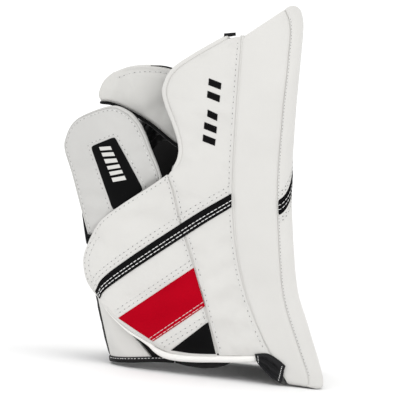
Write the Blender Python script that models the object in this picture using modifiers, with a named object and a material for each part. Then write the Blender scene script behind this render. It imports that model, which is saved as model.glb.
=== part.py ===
"""Ice hockey goalie blocker: a board strapped to the back of a glove, with a padded cuff.

Frame: +X is the way the board faces, -Y is the thumb side, +Z runs from the cuff to the
fingertips. The origin is on the ground, under the middle of the object, which stands on
the board's lower end and on the lower corner of the cuff.
All design values are millimetres and are turned into metres when a mesh is made.
"""
import math

import bmesh
import bpy
from mathutils import Matrix, Vector

MM = 0.001

# ---- driving dimensions -------------------------------------------------------------
BOARD_HALF_WIDTH = 97.0
BOARD_LENGTH = 372.0        # along the face, round the bend at its lower end
BACK_LOW = 2.0              # height where the board's back line starts
BACK_HEIGHT = 327.0         # height the back line covers
BOARD_ROUND = 12.0          # rounding where the face turns onto the sides
FACE_RETURN = 15.0          # how far the face cover runs down the sides
COVER = 3.0                 # face, gusset and back covers
GAP = 0.4                   # between touching pieces
NEAR_FACE = -97.0           # outer face of the thumb-side wall
PANEL = 2.5                 # leather laminated on thin foam
WALL_FOAM = 8.0
LINING = 1.5
BEND_START = -40.0          # thumb-side pieces curve round the hand beyond this X
BEND_RADIUS = 100.0
APPLIQUE = 1.2
APPLIQUE_LIFT = 1.8         # an applique's outer face stands this far off its panel
CUFF_PANEL = 3.0
CUFF_LINING_DEPTH = 3.8     # from the cuff's outer face to its lining
THUMB_FACE = -88.0          # outer face of the thumb guard
INDEX_FACE = -62.0          # outer face of the index finger guard
FAR_FACE = 80.0             # outer face of the little-finger-side wall

# Side lines of the board (X, Z), from the lower end to the upper end.
BOARD_FRONT = [(136.5, 0.3), (138.5, 9), (123, 46), (105, 91), (94, 150), (88, 198), (85.2, 260),
               (84.4, 325), (82.5, 354), (75, 369.5)]
BOARD_BACK = [(104, 2), (83, 31), (64.5, 63), (44.5, 114), (32.5, 179), (28.3, 243), (25.5, 329)]

# Thumb-side wall (X, Z): the seam between its two panels, and the rounded finger shield.
WALL_SEAM = [(35, 24.5), (23.4, 53), (3.2, 106), (-14.5, 147.5), (-24, 175), (-31, 190)]
SHIELD_RIM = [(-31, 190), (-24, 205), (-24, 219), (-31, 237), (-42, 259), (-45, 273), (-39, 290),
              (-23, 305), (10.4, 329)]
WRAP_TOP = [(-102.8, 119.0), (-93.7, 138.3), (-74.6, 156), (-47, 177.4), (-31.5, 190)]
WRAP_BOTTOM = [(-85.1, 62.3), (-75.7, 52.0), (-56, 38.5), (-34, 31), (-14, 23.2), (6, 21.6), (34.5, 24.5)]
WRAP_EDGE = [(-85.1, 62.3), (-101.2, 79.0), (-107.3, 100), (-102.8, 119.0)]

# Thumb guard and index finger guard outlines (X, Z).
THUMB_LEFT = [(-107, 124), (-117, 149), (-129.5, 180.5), (-140.2, 208), (-139.2, 227), (-127, 242)]
THUMB_TOP = [(-127, 242), (-113, 249.3), (-99.5, 252), (-86.5, 251), (-76, 246.7), (-65, 237.6)]
THUMB_RIGHT = [(-42.5, 146), (-37, 180), (-40.5, 194), (-50.5, 212), (-57.7, 226), (-65, 237.6)]
THUMB_BOTTOM = [(-107, 124), (-72, 127), (-42.5, 146)]
PATCH_LEFT = [(-81.9, 150), (-101, 188.4), (-112, 210)]
PATCH_RIGHT = [(-54, 173), (-67, 192.2), (-88, 221.6)]
INDEX_LEFT = [(-108.5, 256.2), (-111.5, 263), (-108, 276), (-99, 286)]
INDEX_TOP = [(-99, 286), (-82, 293.5), (-62, 297), (-43, 296.5), (0, 288)]
INDEX_RIGHT = [(-3, 214), (4, 250), (0, 288)]
INDEX_BOTTOM = [(-108.5, 256.2), (-96, 255.5), (-78, 249.4), (-56, 239.4), (-27, 221), (-3, 214)]

# Joint axes and the hand.
THUMB_PIVOT = (-48.0, -60.0, 150.0)
STRAP_PIVOT = (-115.5, -26.0, 130.0)
FINGERS = [("index", -36.0, 208.0), ("middle", -12.0, 203.0), ("ring", 12.0, 197.0),
           ("little", 36.0, 190.0)]
FINGER_X = -12.0
STALL_RADIUS = 10.5
THUMB_RADIUS = 11.5
STALL_WALL = 1.8
STALL_SIDES = 10
STALL_RINGS = 9
SLEEVE_DEPTH = 22.0         # half the hand sleeve, front to back
SLEEVE_WIDTH = 48.0         # half the hand sleeve, across the knuckles
SLEEVE_SQUARENESS = 0.55
SLEEVE_LOW = 126.0
SLEEVE_TOP = 204.0          # at the index finger; it falls towards the little finger
STRAP_LENGTH = 86.0
STRAP_BEND = 9.0            # how far the strap's free end turns in towards the palm

WHITE = (0.80, 0.79, 0.77)
GREY_WHITE = (0.66, 0.66, 0.65)
BLACK = (0.012, 0.012, 0.013)
RED = (0.50, 0.005, 0.018)
FOAM = (0.30, 0.31, 0.33)
PLASTIC = (0.75, 0.76, 0.74)


# ---- small geometry tools -----------------------------------------------------------
def curve_point(points, t):
    """Point at t (0 to 1, by chord length) on a smooth curve through the points."""
    points = [Vector(p) for p in points]
    lengths = [0.0]
    for first, second in zip(points, points[1:]):
        lengths.append(lengths[-1] + (second - first).length)
    target = t * lengths[-1]
    span = 0
    while span < len(points) - 2 and target > lengths[span + 1]:
        span += 1
    local = (target - lengths[span]) / (lengths[span + 1] - lengths[span])
    start, end = points[span], points[span + 1]
    before = points[span - 1] if span > 0 else 2 * start - end
    after = points[span + 2] if span + 2 < len(points) else 2 * end - start
    leaving = (end - before) * 0.5
    arriving = (after - start) * 0.5
    return (start * (2 * local ** 3 - 3 * local ** 2 + 1) + leaving * (local ** 3 - 2 * local ** 2 + local)
            + end * (3 * local ** 2 - 2 * local ** 3) + arriving * (local ** 3 - local ** 2))


def blend_of_edges(bottom, top, left, right):
    """Coons patch: a surface (a, b) between four boundary curves that share their corners."""
    def patch(a, b):
        across = curve_point(bottom, a) * (1 - b) + curve_point(top, a) * b
        along = curve_point(left, b) * (1 - a) + curve_point(right, b) * a
        corners = ((1 - a) * (1 - b) * Vector(bottom[0]) + a * (1 - b) * Vector(bottom[-1])
                   + (1 - a) * b * Vector(top[0]) + a * b * Vector(top[-1]))
        return across + along - corners
    return patch


def smooth_step(value):
    value = min(max(value, 0.0), 1.0)
    return value * value * (3 - 2 * value)


def bent(x, z, face_y, depth):
    """Point a depth inside a face that starts flat at face_y and turns inward (+Y) with -X."""
    slope = max(BEND_START - x, 0.0) / BEND_RADIUS
    inward = Vector((slope, 1.0)).normalized() * depth
    return x + inward.x, face_y + slope * slope * BEND_RADIUS / 2 + inward.y, z


def material(name, colour, roughness, metallic=0.0):
    found = bpy.data.materials.get(name)
    if found:
        return found
    made = bpy.data.materials.new(name)
    made.use_nodes = True
    shader = made.node_tree.nodes["Principled BSDF"]
    shader.inputs["Base Color"].default_value = (*colour, 1.0)
    shader.inputs["Roughness"].default_value = roughness
    shader.inputs["Metallic"].default_value = metallic
    return made


LEATHER_WHITE = ("leather_white", WHITE, 0.45)
LEATHER_GREY = ("leather_grey_white", GREY_WHITE, 0.5)
LEATHER_RED = ("leather_red", RED, 0.4)
LEATHER_BLACK = ("leather_black", BLACK, 0.45)
NYLON_BLACK = ("nylon_black", BLACK, 0.8)
PALM_BLACK = ("palm_black", BLACK, 0.7)
ELASTIC_BLACK = ("elastic_black", BLACK, 0.75)
FOAM_GREY = ("foam_grey", FOAM, 0.9)
SHEET_PLASTIC = ("sheet_plastic", PLASTIC, 0.35)


def add_object(name, mesh_or_curve, finish):
    obj = bpy.data.objects.new(name, mesh_or_curve)
    parts.objects.link(obj)
    obj.data.materials.append(material(*finish))
    return obj


def empty_at(name, place):
    holder = bpy.data.objects.new(name, None)
    holder.location = Vector(place) * MM
    holder.empty_display_size = 0.02
    parts.objects.link(holder)
    return holder


def carry(obj, holder):
    """Hang an object on the empty at its joint's axis without moving it."""
    obj.parent = holder
    obj.matrix_parent_inverse = Matrix.Translation(-Vector(holder.location))


def sheet(name, finish, place, columns, rows, thickness, closed=False):
    """Open surface from place(a, b) with a, b in 0..1, thickened inward with Solidify."""
    bm = bmesh.new()
    bmesh.ops.create_grid(bm, x_segments=columns, y_segments=rows, size=0.5)
    for vert in bm.verts:
        vert.co = Vector(place(vert.co.x + 0.5, vert.co.y + 0.5)) * MM
    bmesh.ops.remove_doubles(bm, verts=bm.verts, dist=0.00005)
    bmesh.ops.dissolve_degenerate(bm, edges=bm.edges, dist=0.00002)
    if closed:
        bmesh.ops.recalc_face_normals(bm, faces=bm.faces)
    mesh = bpy.data.meshes.new(name)
    bm.to_mesh(mesh)
    bm.free()
    mesh.shade_smooth()
    mesh.set_sharp_from_angle(angle=math.radians(35))
    obj = add_object(name, mesh, finish)
    shell = obj.modifiers.new("thickness", "SOLIDIFY")
    shell.thickness = thickness * MM
    shell.offset = -1.0
    shell.use_even_offset = True
    return obj


def tube(name, finish, points, radius, samples):
    """Round piping or cord along a smooth curve through the points."""
    curve = bpy.data.curves.new(name, "CURVE")
    curve.dimensions = "3D"
    curve.bevel_depth = radius * MM
    curve.bevel_resolution = 2
    curve.use_fill_caps = True
    spline = curve.splines.new("POLY")
    spline.points.add(samples - 1)
    for index, point in enumerate(spline.points):
        point.co = (*(curve_point(points, index / (samples - 1)) * MM), 1.0)
    return add_object(name, curve, finish)


def prism(name, finish, outline, low_y, high_y):
    """Flat outline in X and Z, extruded along Y."""
    curve = bpy.data.curves.new(name, "CURVE")
    curve.dimensions = "2D"
    curve.fill_mode = "BOTH"
    curve.extrude = (high_y - low_y) / 2 * MM
    spline = curve.splines.new("POLY")
    spline.points.add(len(outline) - 1)
    spline.use_cyclic_u = True
    for point, (x, z) in zip(spline.points, outline):
        point.co = (x * MM, z * MM, 0.0, 1.0)
    obj = add_object(name, curve, finish)
    obj.location = (0.0, (low_y + high_y) / 2 * MM, 0.0)
    obj.rotation_euler = (math.radians(90), 0.0, 0.0)
    return obj


def rounded_block(name, finish, low, high, radius):
    """Block between two corners with rounded edges."""
    size = Vector(high) - Vector(low)
    bm = bmesh.new()
    bmesh.ops.create_cube(bm, size=1.0)
    bmesh.ops.scale(bm, vec=size * MM, verts=bm.verts)
    mesh = bpy.data.meshes.new(name)
    bm.to_mesh(mesh)
    bm.free()
    obj = add_object(name, mesh, finish)
    obj.location = (Vector(low) + Vector(high)) / 2 * MM
    bevel = obj.modifiers.new("round", "BEVEL")
    bevel.width = radius * MM
    bevel.segments = 3
    return obj


# ---- board --------------------------------------------------------------------------
def board_point(t, depth):
    """(X, Z) at t along the board, a depth in mm behind its face."""
    front = curve_point(BOARD_FRONT, t)
    back = curve_point(BOARD_BACK, t)
    return front + (back - front).normalized() * depth


def board_thickness(t):
    return (curve_point(BOARD_FRONT, t) - curve_point(BOARD_BACK, t)).length


def board_back_x(z):
    """X of the board's back at a height."""
    t = (z - BACK_LOW) / BACK_HEIGHT
    for _ in range(12):
        t += (z - curve_point(BOARD_BACK, t).y) / (BACK_HEIGHT * 1.04)
    return curve_point(BOARD_BACK, t).x


def rounded_station(value, length, straight):
    """Map 0..1 to (distance from one end, depth): two rounded ends and a straight middle."""
    ends = [(0.0, FACE_RETURN), (0.0, BOARD_ROUND * 0.7), (BOARD_ROUND * 0.3, BOARD_ROUND * 0.22),
            (BOARD_ROUND, 0.0)]
    cells = 2 * (len(ends) - 1) + straight
    step = round(value * cells)
    if step < len(ends):
        return ends[step]
    if step > cells - len(ends):
        place, depth = ends[cells - step]
        return length - place, depth
    fraction = (step - len(ends) + 1) / straight
    return BOARD_ROUND + fraction * (length - 2 * BOARD_ROUND), 0.0


def build_board():
    rows_straight = 13

    def face(a, b):
        y, depth_y = rounded_station(a, 2 * BOARD_HALF_WIDTH, 2)
        along, depth_z = rounded_station(b, BOARD_LENGTH, rows_straight)
        x, z = board_point(along / BOARD_LENGTH, max(depth_y, depth_z))
        return x, y - BOARD_HALF_WIDTH, z

    sheet("board_face_cover", LEATHER_WHITE, face, 8, rows_straight + 6, COVER)

    def perimeter(fraction):
        """(Y, t) round the board's edge: up the thumb side, across, down, and back."""
        stops = [(-1.0, 0.0), (-1.0, 1.0), (1.0, 1.0), (1.0, 0.0), (-1.0, 0.0)]
        shares = [0.0, 0.375, 0.5, 0.875, 1.0]
        for index in range(4):
            if fraction <= shares[index + 1]:
                local = (fraction - shares[index]) / (shares[index + 1] - shares[index])
                y = stops[index][0] + (stops[index + 1][0] - stops[index][0]) * local
                t = stops[index][1] + (stops[index + 1][1] - stops[index][1]) * local
                return y * BOARD_HALF_WIDTH, t
        return -BOARD_HALF_WIDTH, 0.0

    def gusset(a, b):
        y, t = perimeter(a)
        low = FACE_RETURN + 1.2
        high = board_thickness(t)
        x, z = board_point(t, low + (high - low) * b)
        return x, y, z

    sheet("board_side_gusset", LEATHER_WHITE, gusset, 32, 1, COVER, closed=True)

    def back(a, b):
        t = 0.018 + 0.962 * b
        x, z = board_point(t, board_thickness(t) - 0.6)
        return x, (BOARD_HALF_WIDTH - COVER - 1.0) * (1 - 2 * a), z

    sheet("board_back_cover", NYLON_BLACK, back, 1, 14, COVER)

    def slab(front_depth, back_depth):
        """Outline of a layer in the board between two depths that depend on t."""
        low = 18.0 / BOARD_LENGTH
        places = [low + (1 - 2 * low) * index / 11 for index in range(12)]
        front = [tuple(board_point(t, front_depth)) for t in places]
        back = [tuple(board_point(t, back_depth(t))) for t in reversed(places)]
        return front + back

    half = BOARD_HALF_WIDTH
    stiffener_front = COVER + 3.0
    foam_front = stiffener_front + 3.4
    prism("board_stiffener_sheet", SHEET_PLASTIC, slab(stiffener_front, lambda t: stiffener_front + 2.4),
          -half + 14, half - 14)
    prism("board_foam_core", FOAM_GREY, slab(foam_front, lambda t: board_thickness(t) - COVER - 4.0),
          -half + 8, half - 8)

    def stripe(a, b):
        """Band that climbs the thumb-side rounding and crosses the face at a slight slope."""
        y, depth = rounded_station((a * 7 + 1) / 8, 2 * half, 2)
        turned = math.asin(1 - min(depth / BOARD_ROUND, 1.0)) / (math.pi / 2) if y < half else 1.0
        t = (170.0 + 22.0 * turned ** 1.6 + 0.13 * y + 16.0 * b) / BOARD_LENGTH
        lift = APPLIQUE + 1.2
        x, z = board_point(t, depth - (lift if depth < BOARD_ROUND * 0.5 else 0.0))
        side = -1 if y < half else 1
        lift = lift if depth > 0.0 else 0.0
        return x, y - half + side * lift, z

    sheet("board_face_stripe", LEATHER_BLACK, stripe, 7, 1, APPLIQUE)


# ---- thumb-side wall ------------------------------------------------------------------
def near_wall(patch, depth):
    """Place a patch on the thumb-side wall, a depth in mm inside its outer face."""
    def place(a, b):
        x, z = patch(a, b)
        return bent(x, z, NEAR_FACE, depth)
    return place


def board_back_edge(low_z, high_z):
    """The wall's edge along the board's back, between two heights."""
    heights = [low_z + (high_z - low_z) * index / 6 for index in range(7)]
    return [(board_back_x(z) - 1.8, z) for z in heights]


def build_near_wall():
    left = WALL_SEAM[:-1] + SHIELD_RIM
    right = board_back_edge(30.5, 328.5)
    outer = blend_of_edges([left[0], right[0]], [left[-1], right[-1]], left, right)
    sheet("side_wall_panel", LEATHER_WHITE, near_wall(outer, 0.0), 2, 24, PANEL)

    foam_left = [(x + 4, z) for x, z in left]
    foam_left[0] = (39, 30)
    foam_left[-1] = (12, 324)
    foam_right = board_back_edge(34, 324)
    foam_right = [(x - 1, z) for x, z in foam_right]
    foam = blend_of_edges([foam_left[0], foam_right[0]], [foam_left[-1], foam_right[-1]],
                          foam_left, foam_right)
    sheet("side_wall_foam", FOAM_GREY, near_wall(foam, PANEL + GAP), 2, 18, WALL_FOAM)

    lining_bottom = [(-4, 10.6), (8, 9.2), (24, 9), (39, 12), (50, 18), (66, 31), (74, 40)]
    lining_right = board_back_edge(40, 188)
    lining_right = [(x - 1, z) for x, z in lining_right]
    lining_bottom[-1] = lining_right[0]
    lining = blend_of_edges(lining_bottom, [(-28, 188), lining_right[-1]],
                            [(-4, 10.6), (-4, 98), (-16, 140), (-28, 188)], lining_right)
    depth = PANEL + WALL_FOAM + 2 * GAP
    sheet("cuff_near_lining", NYLON_BLACK, near_wall(lining, depth), 8, 8, LINING)

    shield_left = [(-26, 189), *SHIELD_RIM[1:]]
    shield_right = board_back_edge(189, 328)
    shield_right = [(x - 1, z) for x, z in shield_right]
    shield = blend_of_edges([shield_left[0], shield_right[0]], [shield_left[-1], shield_right[-1]],
                            shield_left, shield_right)
    sheet("side_wall_lining", NYLON_BLACK, near_wall(shield, depth), 2, 16, LINING)

    rim = [(x - 2.6, NEAR_FACE + 5.5, z + (0.8 if z > 280 else -0.2)) for x, z in SHIELD_RIM[1:]]
    rim[-1] = (7.0, NEAR_FACE + 5.5, 330.0)
    tube("side_wall_rim_roll", LEATHER_WHITE, rim, 2.1, 26)
    rounded_block("side_wall_top_binding", NYLON_BLACK, (12.0, NEAR_FACE + 0.3, 329.6),
                  (23.5, NEAR_FACE + 9.5, 332.4), 0.8)


def build_wrap():
    seam = [(x - 1.4, z) for x, z in WALL_SEAM]
    bottom = WRAP_BOTTOM[:-1] + [seam[0]]
    top = WRAP_TOP[:-1] + [seam[-1]]
    wrap = blend_of_edges(bottom, top, WRAP_EDGE, seam)
    sheet("cuff_wrap_panel", LEATHER_WHITE, near_wall(wrap, 0.0), 12, 8, PANEL)

    def inset(a, b):
        return wrap(0.05 + 0.88 * a, 0.05 + 0.9 * b)

    sheet("cuff_wrap_lining", NYLON_BLACK, near_wall(inset, PANEL + 1.0), 12, 8, LINING)

    band_top = [(-89.6, 72.4), (-78, 90.6), (-9.5, 148), (31.5, 178.4)]
    band_low = [(-84.8, 65.6), (-74.3, 78.8), (-5.4, 135.7), (33, 165.3)]
    band = blend_of_edges(band_low, band_top, [band_low[0], band_top[0]], [band_low[-1], band_top[-1]])
    sheet("side_stripe_band", LEATHER_BLACK, near_wall(band, -APPLIQUE_LIFT), 16, 1, APPLIQUE)

    red = blend_of_edges([(-64.6, 47.8), (-28.6, 29.2)], [(2.9, 103.8), (17.5, 68.2)],
                         [(-64.6, 47.8), (2.9, 103.8)], [(-28.6, 29.2), (17.5, 68.2)])
    sheet("red_panel", LEATHER_RED, near_wall(red, -APPLIQUE_LIFT), 8, 4, APPLIQUE)


def build_appliques():
    """Piping along the cuff's lower edge, the dark panel beside the seam, and the board strap."""
    piping = [(-31, 26.0), (-24, 20.2), (-14, 17.0), (0, 16.2), (17, 17.2), (34, 19.0), (52, 20.8),
              (69.5, 23.2)]
    tube("cuff_bottom_piping", LEATHER_WHITE, [(x, NEAR_FACE + 2.4, z) for x, z in piping], 3.2, 22)

    dark = blend_of_edges([(-10, 24.2), (10, 23.6), (32.6, 25.8)], [(19.5, 50.5), (21.5, 52)],
                          [(-10, 24.2), (19.5, 50.5)], [(32.6, 25.8), (21.5, 52)])
    sheet("dark_panel", LEATHER_BLACK, near_wall(dark, -APPLIQUE_LIFT), 3, 3, APPLIQUE)

    path = [(71, 24.8), (80, 25.4), (88, 22.0), (96, 14.5), (101, 9)]

    def strap(a, b):
        x, z = curve_point(path, a)
        ahead = curve_point(path, min(a + 0.05, 1.0)) - curve_point(path, max(a - 0.05, 0.0))
        across = Vector((-ahead.y, ahead.x)).normalized()
        half_width = 3.4 + 5.2 * smooth_step(a * 1.4)
        offset = across * half_width * (2 * b - 1)
        return x + offset.x, NEAR_FACE - 3.2, max(z + offset.y, 0.4)

    sheet("board_tie_strap", ELASTIC_BLACK, strap, 10, 2, 2.6)


def cuff_left(z):
    """X of the cuff's palm side at a height: narrow at the wrist opening, wide at the hand."""
    edge = [(-70.5, 0), (-83, 35), (-93, 66), (-101, 110), (-103, 150)]
    return curve_point(edge, min(max(z, 0) / 153, 1)).x


def cuff_path(share, z, start_x, start_y, radius, end_y):
    """Point on the path from the flat wall, round the corner, and along the palm side."""
    left = cuff_left(z)
    flat = start_x - (left + radius)
    turn = math.pi * radius / 2
    palm = abs(end_y - start_y) - radius
    way = share * (flat + turn + palm)
    if way < flat:
        return start_x - way, start_y
    if way < flat + turn:
        angle = (way - flat) / radius
        return left + radius - radius * math.sin(angle), start_y + radius * (1 - math.cos(angle))
    return left, start_y + radius + way - flat - turn


def build_cuff():
    near_y = NEAR_FACE + 9.5
    wing_corner = 35.0
    wing_end_y = 2.0

    def low_edge(share):
        return 7.0 + 11.0 * (1 - smooth_step(share * 1.7)) ** 1.3

    def wing(first, last, depth):
        def place(a, b):
            share = first + (last - first) * (1 - a)
            low = low_edge(share)
            high = 97 + 51 * smooth_step((share - 0.68) * 6)
            z = low + (high - low) * b
            x, y = cuff_path(share, z, -6.0 - depth, near_y + depth, wing_corner - depth, wing_end_y)
            return x + depth, y, z
        return place

    sheet("palm_wing_panel", LEATHER_GREY, wing(0.0, 0.62, 0.0), 14, 5, CUFF_PANEL)
    sheet("palm_cuff_panel", NYLON_BLACK, wing(0.625, 1.0, 0.0), 10, 6, CUFF_PANEL)
    sheet("palm_wing_lining", NYLON_BLACK, wing(0.02, 0.98, CUFF_LINING_DEPTH), 18, 5, LINING)

    hem = []
    for index in range(15):
        share = index / 14
        x, y = cuff_path(share, 2.4, -7.0, near_y + 1.5, wing_corner - 1.5, wing_end_y)
        hem.append((x, y, max(low_edge(share) - 2.3, 2.0)))
    tube("palm_wing_binding", NYLON_BLACK, hem, 1.9, 30)

    far_corner = 40.0
    palm_reach = 26.0

    def far_cuff(depth):
        def place(a, b):
            low = 8 + 16 * smooth_step((a - 0.45) * 2)
            z = low + (148 - low) * b
            back_x = board_back_x(z) - 2.0
            left = cuff_left(z)
            flat = back_x - (left + far_corner)
            turn = math.pi * far_corner / 2
            way = (flat + turn + palm_reach) * a
            if way < flat:
                return back_x - way, FAR_FACE - depth, z
            if way < flat + turn:
                angle = (way - flat) / far_corner
                reach = far_corner - depth
                x = left + far_corner - reach * math.sin(angle)
                return x, FAR_FACE - far_corner + reach * math.cos(angle), z
            return left + depth, FAR_FACE - far_corner - (way - flat - turn), z
        return place

    sheet("far_cuff_panel", LEATHER_WHITE, far_cuff(0.0), 18, 5, CUFF_PANEL)
    sheet("far_cuff_lining", NYLON_BLACK, far_cuff(CUFF_LINING_DEPTH), 18, 5, LINING)

    rim = [(-14, 152), (-30, 176), (-58, 196), (-66, 225), (-60, 258), (-36, 284), (0, 300), (14, 304)]
    edge = [(x - 1, z) for x, z in board_back_edge(152, 304)]
    lobe = blend_of_edges([rim[0], edge[0]], [rim[-1], edge[-1]], rim, edge)

    def far_wall(depth, inset):
        def place(a, b):
            x, z = lobe(1 - inset - (1 - 2 * inset) * a, inset + (1 - 2 * inset) * b)
            return x, FAR_FACE - depth, z
        return place

    sheet("far_wall_panel", LEATHER_WHITE, far_wall(0.0, 0.0), 2, 14, PANEL)
    foam = 5.0
    sheet("far_wall_foam", FOAM_GREY, far_wall(PANEL + GAP, 0.03), 2, 12, foam)
    sheet("far_wall_lining", NYLON_BLACK, far_wall(PANEL + foam + 2 * GAP, 0.0), 2, 14, LINING)


# ---- glove ----------------------------------------------------------------------------
def build_hand():
    def sleeve(a, b):
        angle = 2 * math.pi * a
        across = math.copysign(abs(math.sin(angle)) ** SLEEVE_SQUARENESS, math.sin(angle))
        along = math.copysign(abs(math.cos(angle)) ** SLEEVE_SQUARENESS, math.cos(angle))
        x = FINGER_X + SLEEVE_DEPTH * along
        y = SLEEVE_WIDTH * across
        top = SLEEVE_TOP - 0.2 * (y + SLEEVE_WIDTH)
        return x, y, SLEEVE_LOW + (top - SLEEVE_LOW) * b

    sheet("glove_hand_sleeve", PALM_BLACK, sleeve, 28, 3, 2.0, closed=True)
    rounded_block("palm_grip_patch", PALM_BLACK, (-37.2, -34, 134), (-34.6, 34, 180), 1.0)
    rounded_block("hand_back_pad", FOAM_GREY, (11.0, -46, 132), (25.5, 46, 208), 5.0)
    rounded_block("finger_back_pad", LEATHER_WHITE, (12.0, -40, 216), (24.5, 48, 318), 5.0)


def stall_ring(centre, ahead, side, radius):
    """Points round a finger stall, square to the way the finger runs."""
    up = ahead.cross(side).normalized()
    return [centre + side * radius * math.cos(angle) + up * radius * math.sin(angle)
            for angle in (2 * math.pi * k / STALL_SIDES for k in range(STALL_SIDES))]


def finger_stall(name, path, radius):
    """Curved tube, closed at the fingertip and open at the hand, as one thin closed wall."""
    side = Vector((0, 1, 0))
    bm = bmesh.new()
    walls = []
    for reach, wall_radius in ((1.0, radius), (0.97, radius - STALL_WALL)):
        rings = []
        for step in range(STALL_RINGS):
            t = reach * step / (STALL_RINGS - 1)
            centre = curve_point(path, t)
            ahead = curve_point(path, min(t + 0.02, 1.0)) - curve_point(path, max(t - 0.02, 0.0))
            ahead.normalize()
            across = (side - ahead * side.dot(ahead)).normalized()
            slim = wall_radius * (1 - 0.22 * max(t - 0.85, 0.0) / 0.15)
            ring = stall_ring(centre, ahead, across, slim)
            rings.append([bm.verts.new(point * MM) for point in ring])
        walls.append(rings)
    for rings in walls:
        for low, high in zip(rings, rings[1:]):
            for k in range(STALL_SIDES):
                beside = (k + 1) % STALL_SIDES
                bm.faces.new((low[k], low[beside], high[beside], high[k]))
        bm.faces.new(rings[-1])
    outer, inner = walls[0][0], walls[1][0]
    for k in range(STALL_SIDES):
        beside = (k + 1) % STALL_SIDES
        bm.faces.new((outer[k], outer[beside], inner[beside], inner[k]))
    bmesh.ops.recalc_face_normals(bm, faces=bm.faces)
    mesh = bpy.data.meshes.new(name)
    bm.to_mesh(mesh)
    bm.free()
    mesh.shade_smooth()
    mesh.set_sharp_from_angle(angle=math.radians(50))
    return add_object(name, mesh, PALM_BLACK)


def build_fingers():
    pivots = {}
    for name, y, knuckle in FINGERS:
        pivots[name] = empty_at(name + "_knuckle", (FINGER_X, y, knuckle))
        path = [(-12, y, knuckle), (-13, y, knuckle + 22), (-24, y, knuckle + 40), (-44, y, knuckle + 47),
                (-62, y, knuckle + 39), (-71, y, knuckle + 22)]
        if name == "index":
            path = [(-12, y, 208), (-13, y, 232), (-24, y, 256), (-44, y, 267), (-66, y, 268), (-86, y, 264)]
        carry(finger_stall(name + "_finger_stall", path, STALL_RADIUS), pivots[name])
    return pivots["index"]


def build_index_guard(pivot):
    guard = blend_of_edges(INDEX_BOTTOM, INDEX_TOP, INDEX_LEFT, INDEX_RIGHT)

    def layer(depth, inset):
        def place(a, b):
            x, z = guard(inset + (1 - 2 * inset) * a, inset + (1 - 2 * inset) * b)
            return x, INDEX_FACE + depth + max(-60 - x, 0) ** 2 / 500, z
        return place

    foam = 7.5
    carry(sheet("index_guard_panel", LEATHER_WHITE, layer(0, 0), 8, 5, PANEL), pivot)
    carry(sheet("index_guard_foam", FOAM_GREY, layer(PANEL + GAP, 0.05), 8, 5, foam), pivot)
    carry(sheet("index_guard_lining", NYLON_BLACK, layer(PANEL + foam + 2 * GAP, 0), 8, 5, LINING), pivot)


def build_thumb():
    pivot = empty_at("thumb_root", THUMB_PIVOT)
    guard = blend_of_edges(THUMB_BOTTOM, THUMB_TOP, THUMB_LEFT, THUMB_RIGHT)

    def layer(depth, inset, outline=guard):
        def place(a, b):
            x, z = outline(inset + (1 - 2 * inset) * a, inset + (1 - 2 * inset) * b)
            return bent(x, z, THUMB_FACE, depth)
        return place

    foam_depth = PANEL + GAP
    insert_depth = foam_depth + 7.5
    lining_depth = insert_depth + 2.4
    carry(sheet("thumb_guard_panel", LEATHER_WHITE, layer(0, 0), 8, 8, PANEL), pivot)
    carry(sheet("thumb_guard_foam", FOAM_GREY, layer(foam_depth, 0.06), 8, 8, 7.0), pivot)
    carry(sheet("thumb_guard_insert", SHEET_PLASTIC, layer(insert_depth, 0.06), 8, 8, 1.8), pivot)
    carry(sheet("thumb_guard_lining", NYLON_BLACK, layer(lining_depth, 0), 8, 8, LINING), pivot)
    patch = blend_of_edges([PATCH_LEFT[0], PATCH_RIGHT[0]], [PATCH_LEFT[-1], PATCH_RIGHT[-1]],
                           PATCH_LEFT, PATCH_RIGHT)
    carry(sheet("thumb_guard_patch", LEATHER_BLACK, layer(-APPLIQUE_LIFT, 0, patch), 4, 6, APPLIQUE), pivot)
    path = [(-44, -50, 150), (-48, -50, 166), (-62, -48, 186), (-78, -44, 206), (-88, -40, 222)]
    carry(finger_stall("thumb_stall", path, THUMB_RADIUS), pivot)


def build_wrist_strap():
    pivot = empty_at("strap_anchor", STRAP_PIVOT)

    def strap(depth, first, last, low, high):
        def place(a, b):
            share = first + (last - first) * (1 - a)
            y = STRAP_PIVOT[1] + STRAP_LENGTH * share
            bend = STRAP_BEND * (max(share - 0.45, 0) / 0.55) ** 2
            x = STRAP_PIVOT[0] - 4.3 * (2 * b - 1) + bend
            return x + depth, y, low + (high - low) * b
        return place

    carry(sheet("wrist_strap", ELASTIC_BLACK, strap(0, 0.0, 1.0, 112, 146), 12, 2, 2.4), pivot)
    carry(sheet("wrist_strap_hook_patch", NYLON_BLACK, strap(3.8, 0.72, 0.97, 116, 142), 6, 2, 1.2), pivot)


def build_cad():
    build_board()
    build_near_wall()
    build_wrap()
    build_appliques()
    build_cuff()
    build_hand()
    index_pivot = build_fingers()
    build_index_guard(index_pivot)
    build_thumb()
    build_wrist_strap()


for old in list(bpy.data.objects):
    bpy.data.objects.remove(old, do_unlink=True)
parts = bpy.data.collections.new("goalie_blocker")
bpy.context.scene.collection.children.link(parts)
build_cad()
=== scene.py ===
"""Looks of the goalie blocker: padded leather panels, welts, stitching and webbing over the CAD frame.

Design values are millimetres in the CAD's frame: +X is the way the board faces, -Y is the
thumb side, +Z runs from the cuff to the fingertips.
"""
import math

import bmesh
import bpy
import numpy as np
from mathutils import Matrix, Vector, noise
from mathutils.bvhtree import BVHTree


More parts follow.
